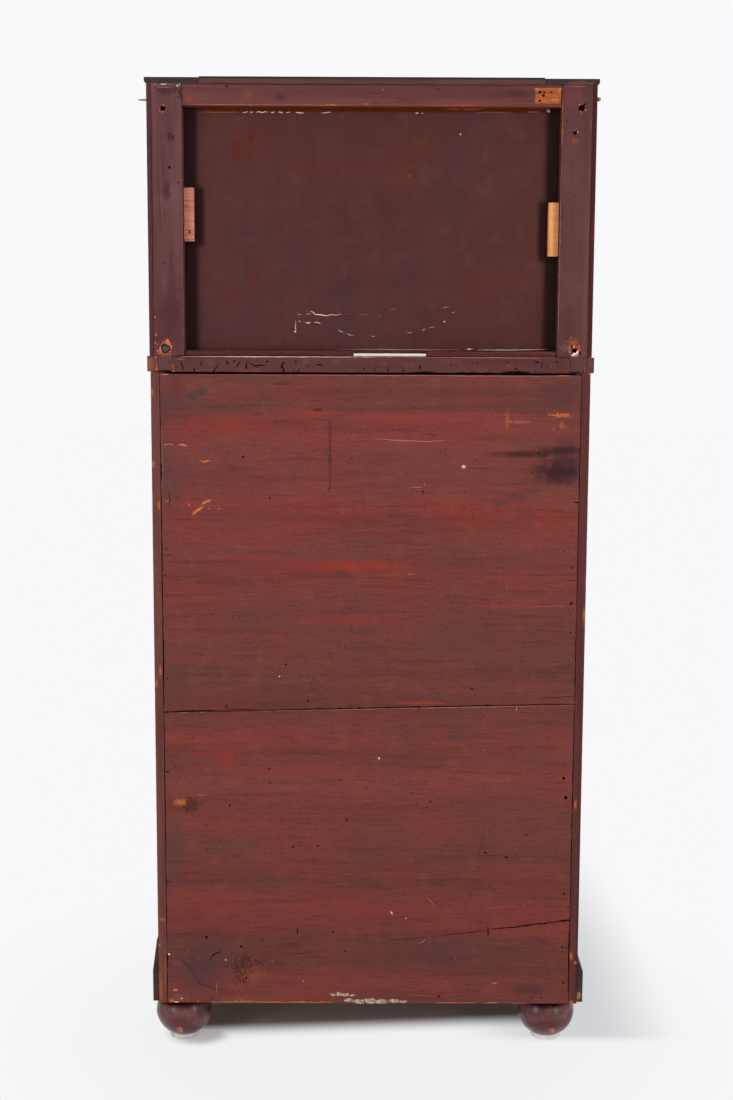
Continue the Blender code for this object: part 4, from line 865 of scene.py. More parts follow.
for side, word in ((-1, "left"), (1, "right")):
    near, far = sorted(side * x for x in NOTCH_X)
    centre = Vector(((near + far) / 2, (post_front_y + high.y) / 2 + 0.002, (low.z + high.z) / 2))
    size = (far - near, high.y - post_front_y + 0.005, high.z - low.z + 0.01)
    bmesh.ops.create_cube(tools, size=1, matrix=box_at(centre, size))
    pivot_low, pivot_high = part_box(f"door_{word}_pivot_bottom")
    pin = Vector(((pivot_low.x + pivot_high.x) / 2, (pivot_low.y + pivot_high.y) / 2, high.z))
    bmesh.ops.create_cone(
        tools, cap_ends=True, segments=24, radius1=PIVOT_HOLE_RADIUS, radius2=PIVOT_HOLE_RADIUS,
        depth=PIVOT_HOLE_DEPTH, matrix=Matrix.Translation(pin),
    )
carve(chest_top, show("cutter", tools, CUT_FINISHES[HOLLOW]))
cuts = Cuts(BACK_Y)
for track in WORM_TRACKS_MM:
    cuts.groove(HOLLOW, random.uniform(2.0, 3.2), 5, *track, sway=0.5)
cuts.holes(
    (264, 1072, 1.4), (204, 1085, 1.2), (155, 1085, 1.3), (112, 1085, 1.2), (10, 1075, 1.2), (16, 1071, 0.9),
    (2, 1069, 0.9), (58, 1068, 1.0), (-6, 1072, 1.1), (-26, 1073, 1.2), (-49, 1072, 1.1),
    (-206, 1085, 1.0), (-218, 1076, 1.3), (-256, 1079, 1.1), (-257, 1084, 0.8), (-264, 1077, 1.0),
    (-246, 1072, 0.9), (-279, 1086, 1.0), (290, 1076, 0.8), (170, 1076, 0.8), (95, 1079, 0.9),
    (-120, 1080, 0.8), (-160, 1084, 0.9), (-178, 1073, 0.8),
)
cuts.groove(RUST, 1.2, 1, (186, 1071), (156, 1070))
cuts.groove(BARED, 3.2, 2, (292, 1088), (278, 1087))
cuts.grooves(
    (CHALK, (1.5, 0.7, (286, 1090.4), (276, 1092), (180, 1092.2), (60, 1092.3), (-40, 1092.2))),
    (RUBBED, (1.6, 0.8, (-30, 1092.2), (-120, 1092), (-200, 1092.2), (-282, 1092.1))),
    (CHALK, (1.0, 0.5, (-120, 1092.3), (-180, 1092.4), (-230, 1092.3))), sway=0.15,
)
for x_mm, wide_mm, finish in (
    (296.6, 1.6, BARED), (320, 1.6, RUBBED), (-296.6, 1.5, BARED), (-319.6, 1.5, RUBBED)
):
    outline = ((x_mm, 1089), (x_mm + 0.8, 1083), (x_mm - 0.5, 1076), (x_mm + 0.4, 1068))
    cuts.groove(finish, wide_mm, 1.2, *outline, sway=0.5)
cuts.grooves(
    (CHALK, (2.0, 1.2, (313, 1074), (309, 1077), (307, 1074.6))),
    (RUBBED, (1.8, 1, (-305, 1088), (-308, 1082), (-306, 1076))), (CHALK, (2.0, 1, (-311, 1080), (-315, 1076))),
    (HOLLOW, (1.8, 3, (285, 1088), (282.6, 1079), (280, 1071))), sway=0.4,
)
cuts.grooves((
    HOLLOW, (3.4, 5, (-60, 1069.4), (-82, 1070), (-100, 1069.2)),
    (4.2, 6, (-196, 1069.6), (-216, 1070.4), (-240, 1069.4)),
    (2.0, 5, (-120, 1069), (-150, 1069.4), (-186, 1069)),
))
cuts.chips(
    (BARED, (322, 1091, 6, 4, 4), (321, 1073, 3, 3, 6), (296, 1069, 4, 3, 5), (334, 1070, 6, 6, 3),
     (326, 1068, 10, 5, 4), (298, 1068, 8, 5, 3)),
    (CHALK, (-303, 1071, 8, 4, 2.4)), (HOLLOW, (-312, 1069, 12, 5, 3)), (BARED, (-336, 1070, 5, 5, 4)),
)
cuts.cut(chest_top)
stand_for(chest_top, "carcass", "polished_mahogany", "chest_top")

# Cupboard sides. Mahogany boards polished outside. Each hides its post behind a narrow lip, whose
# back edge shows as a darker, glossier strip beside the post.
for node, colour in (("upper_side_right", (84, 46, 46)), ("upper_side_left", (74, 34, 33))):
    look = mahogany(f"{node}_finish", "Z")
    look.matt_behind(STAINED_EDGE_Y, colour)
    look.streaks("Z", 60, (50, 24, 24), 0.4)
    side = 1 if "right" in node else -1
    look.stains((side * 329, 1278, 4, 32, (98, 34, 32), 0.8 if side < 0 else 0.3), deep_mm=5)
    look.rub(*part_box(node), 0.0011, (150, 84, 62), 0.5)
    dress(node, look.done(0.28, 0.2))

# Posts. Deal, stained with the back, each tenoned down through the chest top and pegged from the
# side. Old screw holes at the head and foot have torn the wood round them.
TENON_X = (0.297, 0.319)


def stained_post(name, colour, cloudy):
    """The back's stain on an upright post, clouded and grimed."""
    look = Finish(name, colour, 0.55)
    look.coats(
        ("Z", 30, (112, 70, 71), 0.5, 0.5, 0.7, 4.0, 0.4), ("Z", 22, (74, 42, 43), 0.55, 0.48, 0.66, 4.0, 0.4),
        (None, 16, cloudy, 0.4, 0.5, 0.72, 4.0), ("Z", 160, (66, 36, 37), 0.45, 0.5, 0.68),
        (None, 360, (54, 28, 28), 0.5, 0.66, 0.74, 1.0),
    )
    look.sheen(0.42, 0.6, 12.0, "Z")
    look.relief(190, 0.0002, "Z")
    look.relief(34, 0.0005)
    return look


def post_shape(node, name, look):
    """The post with its tenon, before it is marked."""
    low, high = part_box(node)
    waist_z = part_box("chest_top")[1].z + 0.0003
    shape = planed_board((low.x, low.y, waist_z), high, arris=0.001)
    body = show(name, shape, look.done(0.08, 0.16, gloss=0.08))
    side = 1 if high.x > 0 else -1
    near, far = sorted(side * x for x in TENON_X)
    tenon = planed_board((near, low.y + 0.0007, low.z), (far, high.y - 0.0007, waist_z + 0.02))
    carve(body, show("tenon", tenon, body.data.materials[0]), "UNION")
    return body


look = stained_post("post_right_finish", (95, 58, 59), (116, 82, 84))
look.stains((321, 1140, 4, 50, (112, 48, 38), 0.5, 1.2, 150), deep_mm=8)
look.stains(
    (296, 1414, 6, 7, (58, 30, 30), 0.7, 0.9, 160), (302, 1334, 7, 17, (62, 32, 32), 0.75, 0.9, 110),
    (308, 1196, 8, 26, (120, 92, 98), 0.45, 0.9, 90), (296, 1160, 10, 40, (66, 38, 42), 0.5, 0.9, 80),
    (303, 1479, 20, 7, (58, 32, 34), 0.6, 1.2, 200), (300, 1150, 40, 90, (74, 38, 39), 0.8, 0.6),
)
post = post_shape("post_right", "post_with_bolt", look)
cuts = Cuts(BACK_Y)
cuts.torn(307, 1454, 4.0, (BARED, RUBBED, RUST), 8)
cuts.hole(307, 1454, 3.6, 12)
cuts.torn(307, 1104, 8.2, (BARED, BARED, RUBBED, RUST), 16)
cuts.hole(307, 1104, 7.4, 5)
cuts.holes(
    (298, 1369, 1.6), (285, 1347, 1.0), (291, 1414, 1.0), (309, 1230, 0.9), (284, 1470, 0.8), (308, 1414, 0.8)
)
cuts.grooves(
    (HOLLOW, (1.4, 2, (298, 1373), (299, 1366))), (RUST, (2.0, 1.2, (280, 1410), (279.6, 1396), (280.4, 1380))),
    (RUBBED, (0.7, 0.5, (279.6, 1378), (279.5, 1240), (279.6, 1100)), (1.4, 1, (316, 1484), (296, 1483))),
    (HOLLOW, (0.8, 0.5, (323.6, 1470), (323.8, 1200), (323.6, 1100))),
    (BARED, (1.4, 1, (279.6, 1408), (279.8, 1390))),
    (HOLLOW, (1.6, 3, (280, 1486), (282, 1476), (279.6, 1466))), (BARED, (1.6, 1, (320, 1108), (316, 1112))),
)
for x_mm, z_mm in ((319, 1100), (322, 1112), (321, 1124), (318, 1096), (322, 1150), (282, 1489), (285, 1486)):
    cuts.chip(BARED if x_mm > 300 else CHALK, x_mm, z_mm, 3, 1.2, 3)
for x_mm in range(290, 324, 4):
    size_mm = (random.uniform(2, 5), 2, random.uniform(1.5, 4))
    cuts.chip(random.choice((BARED, CHALK, RUBBED)), x_mm, 1488.8, *size_mm)
cuts.chip(HOLLOW, 308, 1070, 20, 8, 4)
cuts.cut(post)
stand_for(post, "carcass", "stained_pine", "post_right")

look = stained_post("post_left_finish", (90, 53, 53), (104, 66, 67))
look.stains(
    (-296, 1470, 16, 18, (112, 58, 56), 0.6, 0.9, 110), (-299, 1410, 6, 5, (140, 72, 46), 0.6, 0.9, 260),
    (-290, 1107, 8, 6, (120, 74, 73), 0.45, 1.4, 260), (-302, 1112, 9, 10, (150, 80, 48), 0.7, 1.8, 400),
)
post = post_shape("post_left", "post_with_torn_hole", look)
cuts = Cuts(BACK_Y)
cuts.torn(-308, 1457, 5.4, (BARED, RUST), 7)
cuts.hole(-308, 1457, 5.0, 12, squash=0.9)
cuts.groove(HOLLOW, 7, 9, (-303, 1452), (-314, 1464), sway=0.2)
cuts.torn(-299, 1421, 3.4, (RUST, RUBBED), 6)
cuts.hole(-299, 1421, 3.6, 4)
cuts.torn(-305, 1102, 7.0, (BARED, RUST, RUBBED, BARED, HOLLOW), 18)
cuts.hole(-305, 1103, 3.8, 10)
cuts.chips((CHALK, (-306, 1098, 7, 1, 8), (-303.6, 1095.6, 5, 0.8, 4), (-308.6, 1101, 3.6, 0.8, 6)))
cuts.grooves(
    (BARED, (2.6, 3, (-298, 1128), (-298.6, 1116), (-299, 1101)), (2.4, 2, (-312, 1104), (-313, 1110)),
     (1.8, 1.2, (-279.8, 1478), (-279.6, 1420), (-280.2, 1396))),
    (RUBBED, (1.5, 1.0, (-279.6, 1394), (-279.8, 1250), (-279.6, 1100)),
     (1.8, 1.4, (-282, 1488.2), (-300, 1487.8), (-320, 1488.2))),
    (HOLLOW, (0.8, 0.5, (-323.8, 1470), (-323.6, 1300), (-323.8, 1100))),
    (BARED, (1.2, 0.6, (-283, 1476), (-286, 1462))),
    (RUBBED, (1.4, 0.6, (-322, 1440), (-322.6, 1424))),
)
cuts.holes((-286, 1438, 0.8), (-313, 1208, 0.8), (-301, 1330, 0.7))
cuts.chip(HOLLOW, -306, 1070, 20, 8, 4)
cuts.cut(post)
stand_for(post, "carcass", "stained_pine", "post_left")

# Bolt end. The blunt, rusted iron end of an old bolt fills the lower hole of one post. It lies a
# little below the post's face, in the wood that it tore.
BOLT_MM = ((0, 0), (5.6, 0), (5.9, 0.5), (5.9, 3.2), (5.2, 3.8), (3.6, 3.6), (2.2, 4.0), (0, 3.9))
bolt = turned(BOLT_MM, 40, (0, 0, 0))
pointing_back = Matrix.Translation((0.307, BACK_Y - 0.0062, 1.104)) @ Matrix.Rotation(-math.pi / 2, 4, "X")
bmesh.ops.transform(bolt, matrix=pointing_back, verts=bolt.verts)
for vert in bolt.verts:
    vert.co += noise.noise_vector(vert.co * 400) * 0.0004
look = Finish("rusted_iron", (70, 58, 58), 0.55)
look.streaks(None, 300, (38, 26, 26), 0.8, 0.42, 0.6)
look.streaks(None, 190, (112, 66, 46), 0.5, 0.55, 0.7)
look.relief(500, 0.0003)
bolt_end = show("bolt_end", bolt, look.done(metallic=0.5))
smooth(bolt_end)
stand_for(bolt_end, "carcass", "stained_pine")

# Top rail. Stained deal, stub-tenoned between the posts. A block that was once glued and nailed
# at one end left a patch of bare orange wood. Its underside never got stain.
SHOULDER_GAP = 0.0003
low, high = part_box("top_rail")
body_low_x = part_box("post_left")[1].x + SHOULDER_GAP
body_high_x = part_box("post_right")[0].x - SHOULDER_GAP
look = Finish("top_rail_finish", (106, 62, 59), 0.56)
look.coats(
    ("X", 40, (126, 72, 64), 0.5, 0.5, 0.7, 4.0, 0.4), ("X", 30, (82, 46, 45), 0.6, 0.48, 0.66, 4.0, 0.4),
    ("X", 190, (70, 38, 37), 0.45, 0.5, 0.68), (None, 360, (54, 28, 28), 0.5, 0.66, 0.74, 1.0),
)
look.stains(
    (182, 1475, 9, 9, (134, 70, 60), 0.6, 0.2), (134, 1470, 12, 6, (66, 36, 36), 0.7),
    (268, 1468, 6, 5, (160, 64, 46), 0.6), (-214, 1478, 26, 9, (70, 40, 42), 0.6), deep_mm=5,
)
facing_down = step(look.tree, "SeparateXYZ", (step(look.tree, "NewGeometry", out="Normal"),), out="Z")
look.lay(look.between(facing_down, -0.8, -0.5, 1.0, 0.0), (122, 54, 26))
look.sheen(0.44, 0.6, 10.0, "X")
look.relief(190, 0.0002, "X")
look.relief(34, 0.0005)
shape = planed_board((body_low_x, low.y, low.z), (body_high_x, high.y, high.z), arris=0.001)
rail = show("top_rail_back", shape, look.done(0.05, 0.16, gloss=0.06))
tenons = planed_board((low.x, low.y + 0.008, low.z + 0.006), (high.x, high.y - 0.008, high.z - 0.006), 0.3)
carve(rail, show("tenons", tenons, rail.data.materials[0]), "UNION")
patch = bmesh.new()
where_nailed = box_at((-0.2595, BACK_Y + 0.0006, 1.4738), (0.041, 0.0022, 0.0225))
bmesh.ops.create_cube(patch, size=1, matrix=where_nailed)
bmesh.ops.subdivide_edges(patch, edges=patch.edges[:], cuts=5, use_grid_fill=True)
for vert in patch.verts:
    vert.co += noise.noise_vector(vert.co * 320) * 0.0007
look = Finish("bare_patch", (174, 88, 40), 0.75)
look.streaks("X", 150, (118, 52, 26), 0.85, 0.42, 0.62)
look.streaks(None, 90, (206, 124, 66), 0.5, 0.5, 0.68)
look.relief(260, 0.0003, "X")
carve(rail, show("patch", patch, look.done(gloss=0.3)))
cuts = Cuts(BACK_Y)
cuts.holes(
    (-246, 1479, 1.6), (-252.5, 1479, 1.3), (-263, 1479, 1.2), (-251.5, 1474.5, 1.6), (-246, 1467, 1.6),
    (213, 1486, 1.2), (-97, 1484, 0.9), (160, 1463, 0.7), (-6, 1463, 0.8),
)
cuts.grooves(
    (RUBBED, (1.3, 0.8, (276, 1459.4), (150, 1459.2), (20, 1459.4))),
    (BARED, (3.0, 1.2, (16, 1461.4), (2, 1461))),
    (RUST, (1.2, 0.8, (0, 1459.3), (-120, 1459.4), (-236, 1459.2))),
    (BARED, (1.8, 1.2, (-70, 1459.6), (-110, 1459.4), (-160, 1459.6)), (2.0, 1.0, (70, 1459.6), (50, 1459.4))),
    (HOLLOW, (0.9, 0.5, (276, 1488), (150, 1487.8), (-220, 1488)),
     (1.8, 5, (-277.6, 1486), (-278.4, 1470), (-277.8, 1459)),
     (1.2, 4, (277.8, 1486), (278.4, 1472), (278, 1460))),
)
cuts.chips((RUBBED, (-16, 1482, 3, 0.8, 2)), (RUST, (-277, 1459, 5, 4, 4)))
cuts.cut(rail)
stand_for(rail, "carcass", "stained_pine", "top_rail")

# Back panel. One smooth thin panel between the cupboard sides, held against the posts and the rail
# and stained darker than they are. It is scratched white, and its edges have flaked.
PANEL_MM = 188
RED_SMEAR = (90, 33, 26)
# Colour of the shade painted on the panel beside the posts and the glue blocks.
PAINTED_SHADE = (26, 11, 9)
look = Finish("back_panel_finish", (79, 43, 40), 0.52)
look.coats(
    (None, 3.2, (74, 46, 47), 0.8, 0.42, 0.6, 3.0, 0.5), (None, 5.5, (92, 45, 40), 0.4, 0.44, 0.68, 3.0, 0.8),
    (None, 32, (98, 60, 58), 0.3, 0.5, 0.72, 4.0, 0.4), (None, 12, (64, 38, 37), 0.5, 0.52, 0.72, 4.0, 0.4),
    ("Z", 20, (86, 48, 44), 0.25, 0.48, 0.7, 4.0, 0.6), ("Z", 34, (68, 40, 39), 0.25, 0.5, 0.7, 4.0, 0.5),
    (None, 18, (90, 53, 50), 0.3, 0.5, 0.7, 4.0), (None, 260, (62, 34, 33), 0.35, 0.56, 0.7),
)
for *smear, share in (
    (201, 1403, 10, 32, 0.8), (179, 1416, 9, 19, 0.85), (181, 1388, 7, 15, 0.7), (166, 1226, 6, 14, 0.5),
    (173, 1209, 6, 14, 0.55), (180, 1194, 6, 14, 0.45), (157, 1412, 6, 20, 0.45), (214, 1180, 28, 36, 0.3),
):
    look.stains((*smear, RED_SMEAR, share, 0.35), deep_mm=5, face_mm=PANEL_MM)
look.sheen(0.42, 0.58, 6.0)
look.relief(240, 0.00008, "Z")
panel_low, panel_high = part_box("back_panel")


def panel_patch(from_x, to_x, low_z, high_z, soft, colour, share):
    """Lay a colour over a box of the panel's back face, fading out round it: painted shade by the posts, the
    blocks and the rail.
    """
    near, far = sorted((from_x, to_x))
    look.patch((near, panel_high.y - 0.01, low_z), (far, panel_high.y + 0.001, high_z), soft, colour, share)


# Painted shade under the rail: a dark orange-brown band along the panel's head, with two orange flecks in it,
# stands for the rail's bare underside and the shade below it.
panel_patch(panel_low.x, panel_high.x, 1.4531, panel_high.z, 0.0008, (76, 29, 14), 0.95)
look.stains(
    (-122, 1457.6, 14, 2.6, (124, 62, 36), 0.8, 1.0, 220),
    (-147, 1457.4, 16, 2.6, (128, 66, 38), 0.8, 1.0, 220), deep_mm=5, face_mm=PANEL_MM,
)
# Painted shade: nearly black bands on the panel beside each post and round each glue block, where those parts
# shade it.
for side, word in ((-1, "left"), (1, "right")):
    post_x = side * 0.279
    panel_patch(post_x - side * 0.013, post_x + side * 0.05, panel_low.z, panel_high.z, 0.011, PAINTED_SHADE, 0.85)
    block_low, block_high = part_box(f"glue_block_{word}")
    panel_patch(side * 0.256, side * 0.28, block_low.z - 0.002, block_high.z - 0.004, 0.012, PAINTED_SHADE, 0.8)
shape = planed_board(panel_low, panel_high, 0.03, 0.0006, 0.0001)
panel = show("panel_behind_cupboard", shape, look.done(0.04, 0.2, gloss=0.05))
cuts = Cuts(panel_high.y)
for width_mm, *points_mm in (
    (1.4, (112, 1155), (104, 1155)), (1.2, (100, 1155), (88, 1156)),
    (1.9, (92, 1160), (84, 1155), (67, 1153), (44, 1156)), (0.8, (40, 1156), (28, 1155.6)),
    (1.0, (20, 1155), (-1, 1154)), (1.6, (114, 1146), (114, 1136), (113.6, 1128)),
    (1.5, (110, 1146), (104, 1144)), (2.0, (101, 1143), (94, 1142), (90, 1142)),
    (1.5, (86, 1142), (80, 1143), (74, 1141)),
    (1.2, (50, 1133), (46, 1130), (38, 1127)), (1.6, (37, 1127), (26, 1123.6)), (1.5, (2, 1123), (-9, 1123)),
    (1.3, (-54, 1128), (-64, 1129)), (1.4, (-76, 1132), (-84, 1134)), (1.1, (-86, 1135), (-99, 1138)),
    (1.2, (-106, 1165), (-120, 1167)), (1.2, (-121, 1158), (-127, 1159)), (0.9, (-38, 1163), (-28, 1163)),
    (1.2, (-14, 1153), (-12, 1152)), (1.0, (-116, 1154), (-118, 1155)), (0.9, (-130, 1161), (-134, 1162)),
):
    cuts.groove(CHALK if width_mm > 1 else RUBBED, width_mm * 0.8, 0.35, *points_mm, sway=0.9)
for x_mm, z_mm, size in (
    (-111, 1145, 2.6), (114, 1129, 3.2), (-57, 1360, 1.6), (96, 1160, 1.4), (30, 1137, 1.4), (-132, 1421, 2.4)
):
    cuts.chip(CHALK if size > 2 else RUBBED, x_mm, z_mm, size, 0.8, size)
for start, end in (
    (193, 183), (181, 175), (172, 153), (151, 143), (139, 131),
    (128, 121), (114, 100), (76, 60), (-64, -70), (-74, -76),
):
    flake = ((start, 1451.6), ((start + end) / 2, 1451), (end, 1451.8))
    cuts.groove(CHALK, random.uniform(1.0, 1.9), 0.5, *flake, sway=0.6)
cuts.groove(RUBBED, 0.8, 0.4, (258, 1451.4), (230, 1451.2), (194, 1451.6), sway=0.4)
cuts.groove(RUBBED, 0.8, 0.4, (-150, 1452.8), (-190, 1453), (-214, 1452.8), sway=0.3)
cuts.groove(BARED, 1.3, 0.5, (-226, 1453.6), (-252, 1453.8), sway=0.3)
cuts.chip(CHALK, -262, 1455, 6, 0.8, 4)
cuts.groove(RUBBED, 1.5, 0.5, (56, 1102.6), (-20, 1103), (-90, 1102.6), (-140, 1103.4), sway=0.2)
cuts.groove(CHALK, 2.4, 0.6, (-142, 1104), (-156, 1104.4), sway=0.4)
cuts.groove(CHALK, 1.4, 0.5, (-158, 1103), (-200, 1102.8), (-268, 1104), sway=0.2)
cuts.cut(panel)
stand_for(panel, "carcass", "stained_pine", "back_panel")

# Battens and shim. Two thin strips hold the panel's foot against the cupboard, planted on the
# chest top, and a pale packing strip lies in the gap between them.
look = Finish("batten_finish", (94, 46, 41), 0.6)
look.streaks("X", 50, (64, 32, 30), 0.6)
look.streaks("X", 220, (122, 66, 56), 0.3, 0.5, 0.68)
look.relief(200, 0.0002, "X")
batten_finish = look.done(gloss=0.05)
for node in ("batten_left", "batten_right"):
    low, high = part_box(node)
    batten = show(f"{node}_strip", planed_board(low, high, arris=0.0006), batten_finish)
    cuts = Cuts(high.y)
    span = (high.x - low.x) / MM
    for share in (0.12, 0.34, 0.55, 0.72, 0.9):
        x_mm = low.x / MM + span * share
        cuts.groove(RUST, 1.1, 0.4, (x_mm, high.z / MM - 0.6), (x_mm + 14, high.z / MM - 0.5))
    cuts.cut(batten)
    stand_for(batten, "carcass", "stained_pine", node)
look = Finish("shim_finish", (228, 222, 212), 0.8)
look.streaks("X", 90, (196, 180, 160), 0.5)
look.relief(200, 0.0001, "X")
shim = show("packing_strip", planed_board(*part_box("shim"), arris=0.0004), look.done(gloss=0.3))
stand_for(shim, "carcass", "shim_wood", "shim")

# Glue blocks. Short sawn softwood blocks rubbed into the corners between posts and panel, never
# stained: the saw's marks run across them and glue darkens their edges.
for node, colour, darker, marks, sawn in (
    ("glue_block_right", (214, 136, 112), (152, 92, 72), 0.8, 0.0005),
    ("glue_block_left", (232, 156, 100), (196, 116, 68), 0.2, 0.00012),
):
    look = Finish(f"{node}_finish", colour, 0.8)
    look.streaks("Z", 60, darker, 0.6)
    look.streaks("X", 420, darker, marks, 0.48, 0.58)
    look.rub(*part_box(node), 0.0012, (206, 112, 54), 0.85)
    look.relief(500, sawn, "X")
    glue_block = show(f"{node}_sawn", planed_board(*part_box(node), 0.006, 0.0006, 0.0005), look.done(gloss=0.25))
    if node == "glue_block_right":
        cuts = Cuts(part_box(node)[1].y)
        cuts.hole(270, 1276, 2.2, 2, RUST)
        cuts.hole(270, 1276, 1.2, 3)
        cuts.grooves((BARED, (1.6, 1, (278, 1300), (277.6, 1284)), (2.2, 1, (278, 1272), (277, 1265))))
        cuts.cut(glue_block)
    stand_for(glue_block, "carcass", "raw_pine", node)

# Pegs. Brass pins driven through the cupboard sides into the posts; one ends in a round button,
# the other in a point.
look = Finish("aged_brass", (150, 112, 62), 0.36)
look.streaks(None, 240, (84, 62, 40), 0.7, 0.45, 0.62)
look.relief(600, 0.00008)
aged_brass = look.done(metallic=1.0)
for node in ("peg_left", "peg_right"):
    dress(node, aged_brass)

# Cornice and top board. A flat frame in a U, ebonised, and the board let in between its arms. Behind,
# the board's edge wears through to brown along its lower half.
look = Finish("ebonised_cornice", (58, 46, 46), 0.36)
look.streaks("X", 26, (40, 31, 32), 0.7)
look.streaks(None, 30, (82, 62, 60), 0.45, 0.5, 0.7, 4.0)
look.rub(*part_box("cornice"), 0.0009, (122, 78, 62), 0.6)
look.stains((-306, 1492, 20, 4, (112, 70, 56), 0.6, 0.8, 160))
look.sheen(0.56, 0.72)
look.relief(110, 0.0002, "X")
look.dull_behind(BACK_Y - 0.0008, 0.3)
dress("cornice", look.done(gloss=0.22))
low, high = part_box("top_board")
look = Finish("top_board_finish", (54, 42, 42), 0.36)
look.streaks("X", 22, (40, 30, 30), 0.6)
behind = look.dull_behind(STAINED_EDGE_Y, 0.3)
lower_half = look.between(look.axis("Z"), high.z - 0.0042, high.z - 0.0024, 1.0, 0.0)
look.lay(look.math("MULTIPLY", behind, lower_half), (92, 60, 58))
look.streaks("X", 120, (62, 40, 39), 0.4)
look.rub(low, high, 0.0006, (126, 92, 84), 0.5)
look.sheen(0.56, 0.72)
look.relief(110, 0.0002, "X")
top_board = show("top_between_cornice", planed_board(low, high, arris=0.0007), look.done(gloss=0.22))
cuts = Cuts(BACK_Y)
for x_mm, width_mm in ((240, 0.8), (180, 0.6), (96, 0.7), (10, 0.6), (-64, 0.8), (-150, 0.7), (-214, 0.9)):
    cuts.groove(HOLLOW, width_mm, 0.5, (x_mm, 1490.6), (x_mm - 34, 1490.4))
cuts.cut(top_board)
stand_for(top_board, "carcass", "ebonised", "top_board")

# Frieze rail. The mahogany rail over the doors, stub-tenoned into the cupboard sides and polished
# in front. Its lower lip, hidden behind the doors, stops them.
dress("frieze_rail", mahogany("frieze_rail_finish", "X").done(0.45, 0.12))

# Cupboard doors. Framed mahogany with a raised panel, hung on brass pivots in the rail and in the
# chest top. The stiles run with the grain upright, and the panel is cut from a showier board.
RUBBED_ARRIS = (140, 72, 46)
for side in ("left", "right"):
    look = mahogany(f"door_{side}_frame_finish", "Z", 0.35)
    look.rub(*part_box(f"door_{side}_frame"), 0.0008, RUBBED_ARRIS, 0.5)
    dress(f"door_{side}_frame", look.done(0.34, 0.18))
    look = mahogany(f"door_{side}_panel_finish", "Z", 0.8)
    look.streaks("Z", 3.5, (138, 70, 44), 0.5, 0.5, 0.66, 3.0, 1.2)
    dress(f"door_{side}_panel", look.done(0.26, 0.24))
    for place in ("top", "bottom"):
        dress(f"door_{side}_pivot_{place}", aged_brass)

# Drawers. Mahogany fronts on dovetailed oak boxes, the bottoms slid into grooves, each with a pair
# of turned knobs glued through the front.
drawer_oak = bare_oak("drawer_side_oak", "Y")
drawer_floor_oak = bare_oak("drawer_floor_oak", "X")
knob_finish = mahogany("knob_finish", "Y", 0.3).done(0.7, 0.08)
for number in range(1, 5):
    node = f"drawer_{number}_front"
    look = mahogany(f"{node}_finish", "X", 0.7)
    look.streaks("X", 3.0 + number * 0.4, (134, 68, 44), 0.5, 0.5, 0.66, 3.0, 1.0)
    look.rub(*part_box(node), 0.0008, RUBBED_ARRIS, 0.5)
    dress(node, look.done(0.34, 0.18))
    dress(f"drawer_{number}_box", drawer_oak)
    dress(f"drawer_{number}_bottom", drawer_floor_oak)
    for word in ("left", "right"):
        dress(f"drawer_{number}_knob_{word}", knob_finish)

# Studio. A pale floor without an edge and white air behind it. Two broad soft lamps stand at the
# sides of the camera, a little above it, so that both posts shade the panel; a third lights the
# front, and a weak one hangs over the top.
LAMP_AIM = Vector((0, 0, 0.8))
floor_shape = bmesh.new()
bmesh.ops.create_circle(floor_shape, cap_ends=True, segments=96, radius=14)
floor_finish = bpy.data.materials.new("pale_floor")
floor_finish.use_nodes = True
tree = floor_finish.node_tree
paper = tree.nodes["Principled BSDF"]
paper.inputs["Roughness"].default_value = 0.6
paper.inputs["Specular IOR Level"].default_value = 0.2


def fade(value, low, high, start=0.0, end=1.0):
    """A soft change along the floor."""
    return step(tree, "MapRange", (value, low, high, start, end), interpolation_type="SMOOTHSTEP")


def sum_up(operation, *values):
    return step(tree, "Math", values, operation=operation)


def away_from(place):
    """Distance from a place on the floor."""
    return step(tree, "VectorMath", (where, place), out="Value", operation="DISTANCE")


def both(share, first, second):
    """One colour passing into another."""
    return step(tree, "Mix", {0: share, 6: first, 7: second}, out=2, data_type="RGBA")


def seen_at_once():
    """1 where the camera looks, also by way of polish and clear plastic, and 0 for the rest."""
    camera, polish, clear = (
        step(tree, "LightPath", out=f"Is {kind} Ray") for kind in ("Camera", "Glossy", "Transmission")
    )
    return sum_up("MAXIMUM", sum_up("MAXIMUM", camera, polish), clear)


where = step(tree, "TexCoord", out="Object")
across, back = (step(tree, "SeparateXYZ", (where,), out=letter) for letter in "XY")
# Painted shade: under the piece, and beside one foot, the floor's paper is coloured dark on top of its real
# shadow; away from the piece it is pale and, where the camera looks, white.
edge = fade(across, 0.28, 0.33)
slanted = fade(sum_up("MULTIPLY_ADD", across, -0.09, back), 0.09, 0.162)
for end in (fade(across, -0.34, -0.28, 1.0, 0.0), slanted, fade(back, -0.32, -0.2, 1.0, 0.0)):
    edge = sum_up("MAXIMUM", edge, end)
edge = sum_up("MINIMUM", edge, fade(away_from((0.272, 0.148, 0)), 0.03, 0.065, 0.35, 1.0))
tree.links.new(both(edge, tone(150, 140, 134), tone(238, 239, 242)), paper.inputs["Base Color"])
# Painted shade on the white: it is dimmed a little near the piece, and a grey patch beside the piece's left side
# is a painted shadow.
white_dimmed_near_piece = both(fade(away_from((0, 0.1, 0)), 0.2, 0.8), tone(240, 240, 241), tone(248, 248, 250))
off_side = sum_up("ABSOLUTE", sum_up("ADD", across, 0.33))
painted_side_shadow = sum_up("MULTIPLY", fade(off_side, 0.03, 0.2, 1.0, 0.0), fade(back, -1.2, -0.1))
painted_side_shadow = sum_up("MULTIPLY", painted_side_shadow, fade(back, 0.15, 0.19, 1.0, 0.0))
white = step(tree, "Emission", (both(painted_side_shadow, white_dimmed_near_piece, tone(208, 209, 212)), 1.0))
mixed = step(tree, "MixShader", (sum_up("MULTIPLY", edge, seen_at_once()), paper.outputs[0], white))
tree.links.new(mixed, tree.nodes["Material Output"].inputs["Surface"])
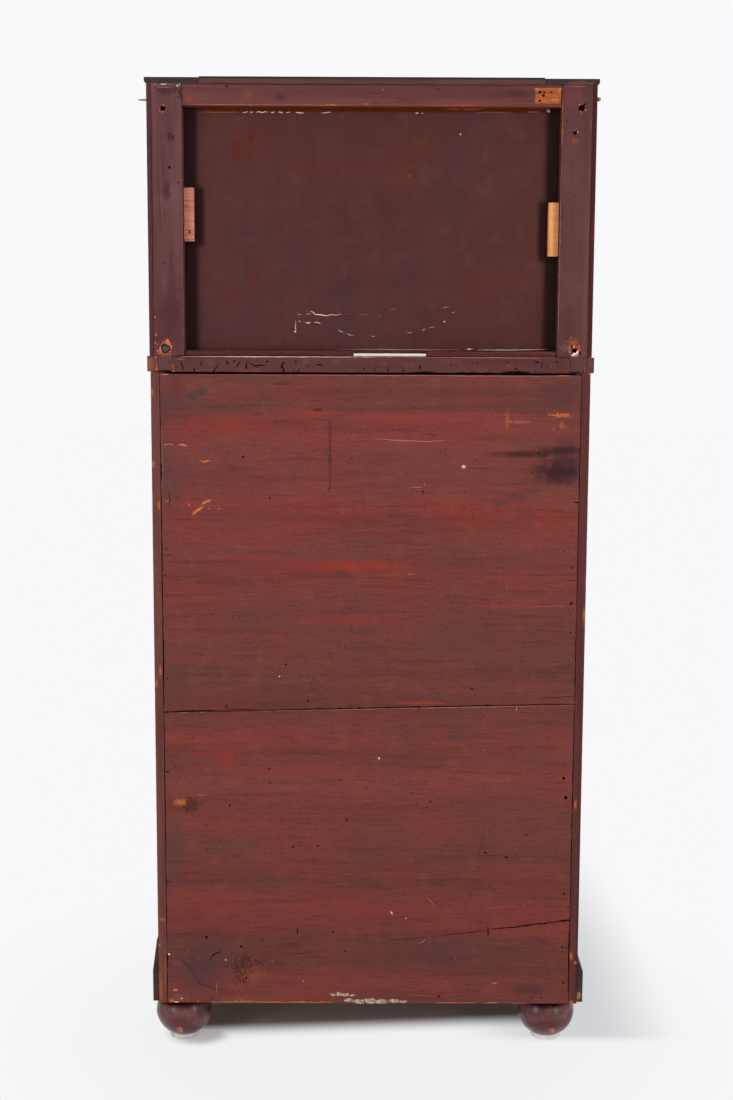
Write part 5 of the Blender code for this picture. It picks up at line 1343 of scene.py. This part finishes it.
floor = show("studio_floor", floor_shape, floor_finish)
floor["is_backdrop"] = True

world = bpy.data.worlds.new("white_studio")
bpy.context.scene.world = world
world.use_nodes = True
tree = world.node_tree
air = step(tree, "Background", (tone(255, 255, 255), 0.22))
backdrop = step(tree, "Background", (tone(249, 249, 251), 1.0))
mixed = step(tree, "MixShader", (seen_at_once(), air, backdrop))
tree.links.new(mixed, tree.nodes["World Output"].inputs["Surface"])

for name, place, power, size in (
    ("soft_lamp_left", (2.0, 2.2, 1.3), 40, (0.6, 1.9)), ("soft_lamp_right", (-2.0, 2.2, 1.3), 40, (0.6, 1.9)),
    ("soft_lamp_front", (-1.2, -3.4, 2.4), 48, (1.8, 1.8)), ("top_lamp", (0.0, 0.8, 3.4), 10, (2.4, 2.4)),
):
    lamp = bpy.data.lights.new(name, "AREA")
    lamp.shape = "RECTANGLE"
    lamp.size, lamp.size_y = size
    lamp.energy = power
    thing = bpy.data.objects.new(name, lamp)
    bpy.context.scene.collection.objects.link(thing)
    thing.location = place
    thing.rotation_euler = (LAMP_AIM - Vector(place)).to_track_quat("-Z", "Y").to_euler()

# Camera. It stands behind the piece a little over two and a half metres off, at chest height, and
# looks slightly down. Its lens, place and tilt were fitted to the edges of the back.
PICTURE_HEIGHT_PX = 1100
FOCAL_PX = 1730
CAMERA_PLACE = (0.0133, 2.818, 1.1743)
PITCH, YAW, ROLL = math.radians(8.169), math.radians(-0.179), math.radians(0.239)
camera = bpy.data.cameras.new("camera")
camera.sensor_width = 36
camera.lens = camera.sensor_width * FOCAL_PX / PICTURE_HEIGHT_PX
viewer = bpy.data.objects.new("camera", camera)
bpy.context.scene.collection.objects.link(viewer)
aim = Euler((math.pi / 2 - PITCH, 0, math.pi + YAW)).to_matrix() @ Matrix.Rotation(ROLL, 3, "Z")
viewer.matrix_world = Matrix.Translation(CAMERA_PLACE) @ aim.to_4x4()
bpy.context.scene.camera = viewer
bpy.context.scene.view_settings.view_transform = "Standard"

low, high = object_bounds()
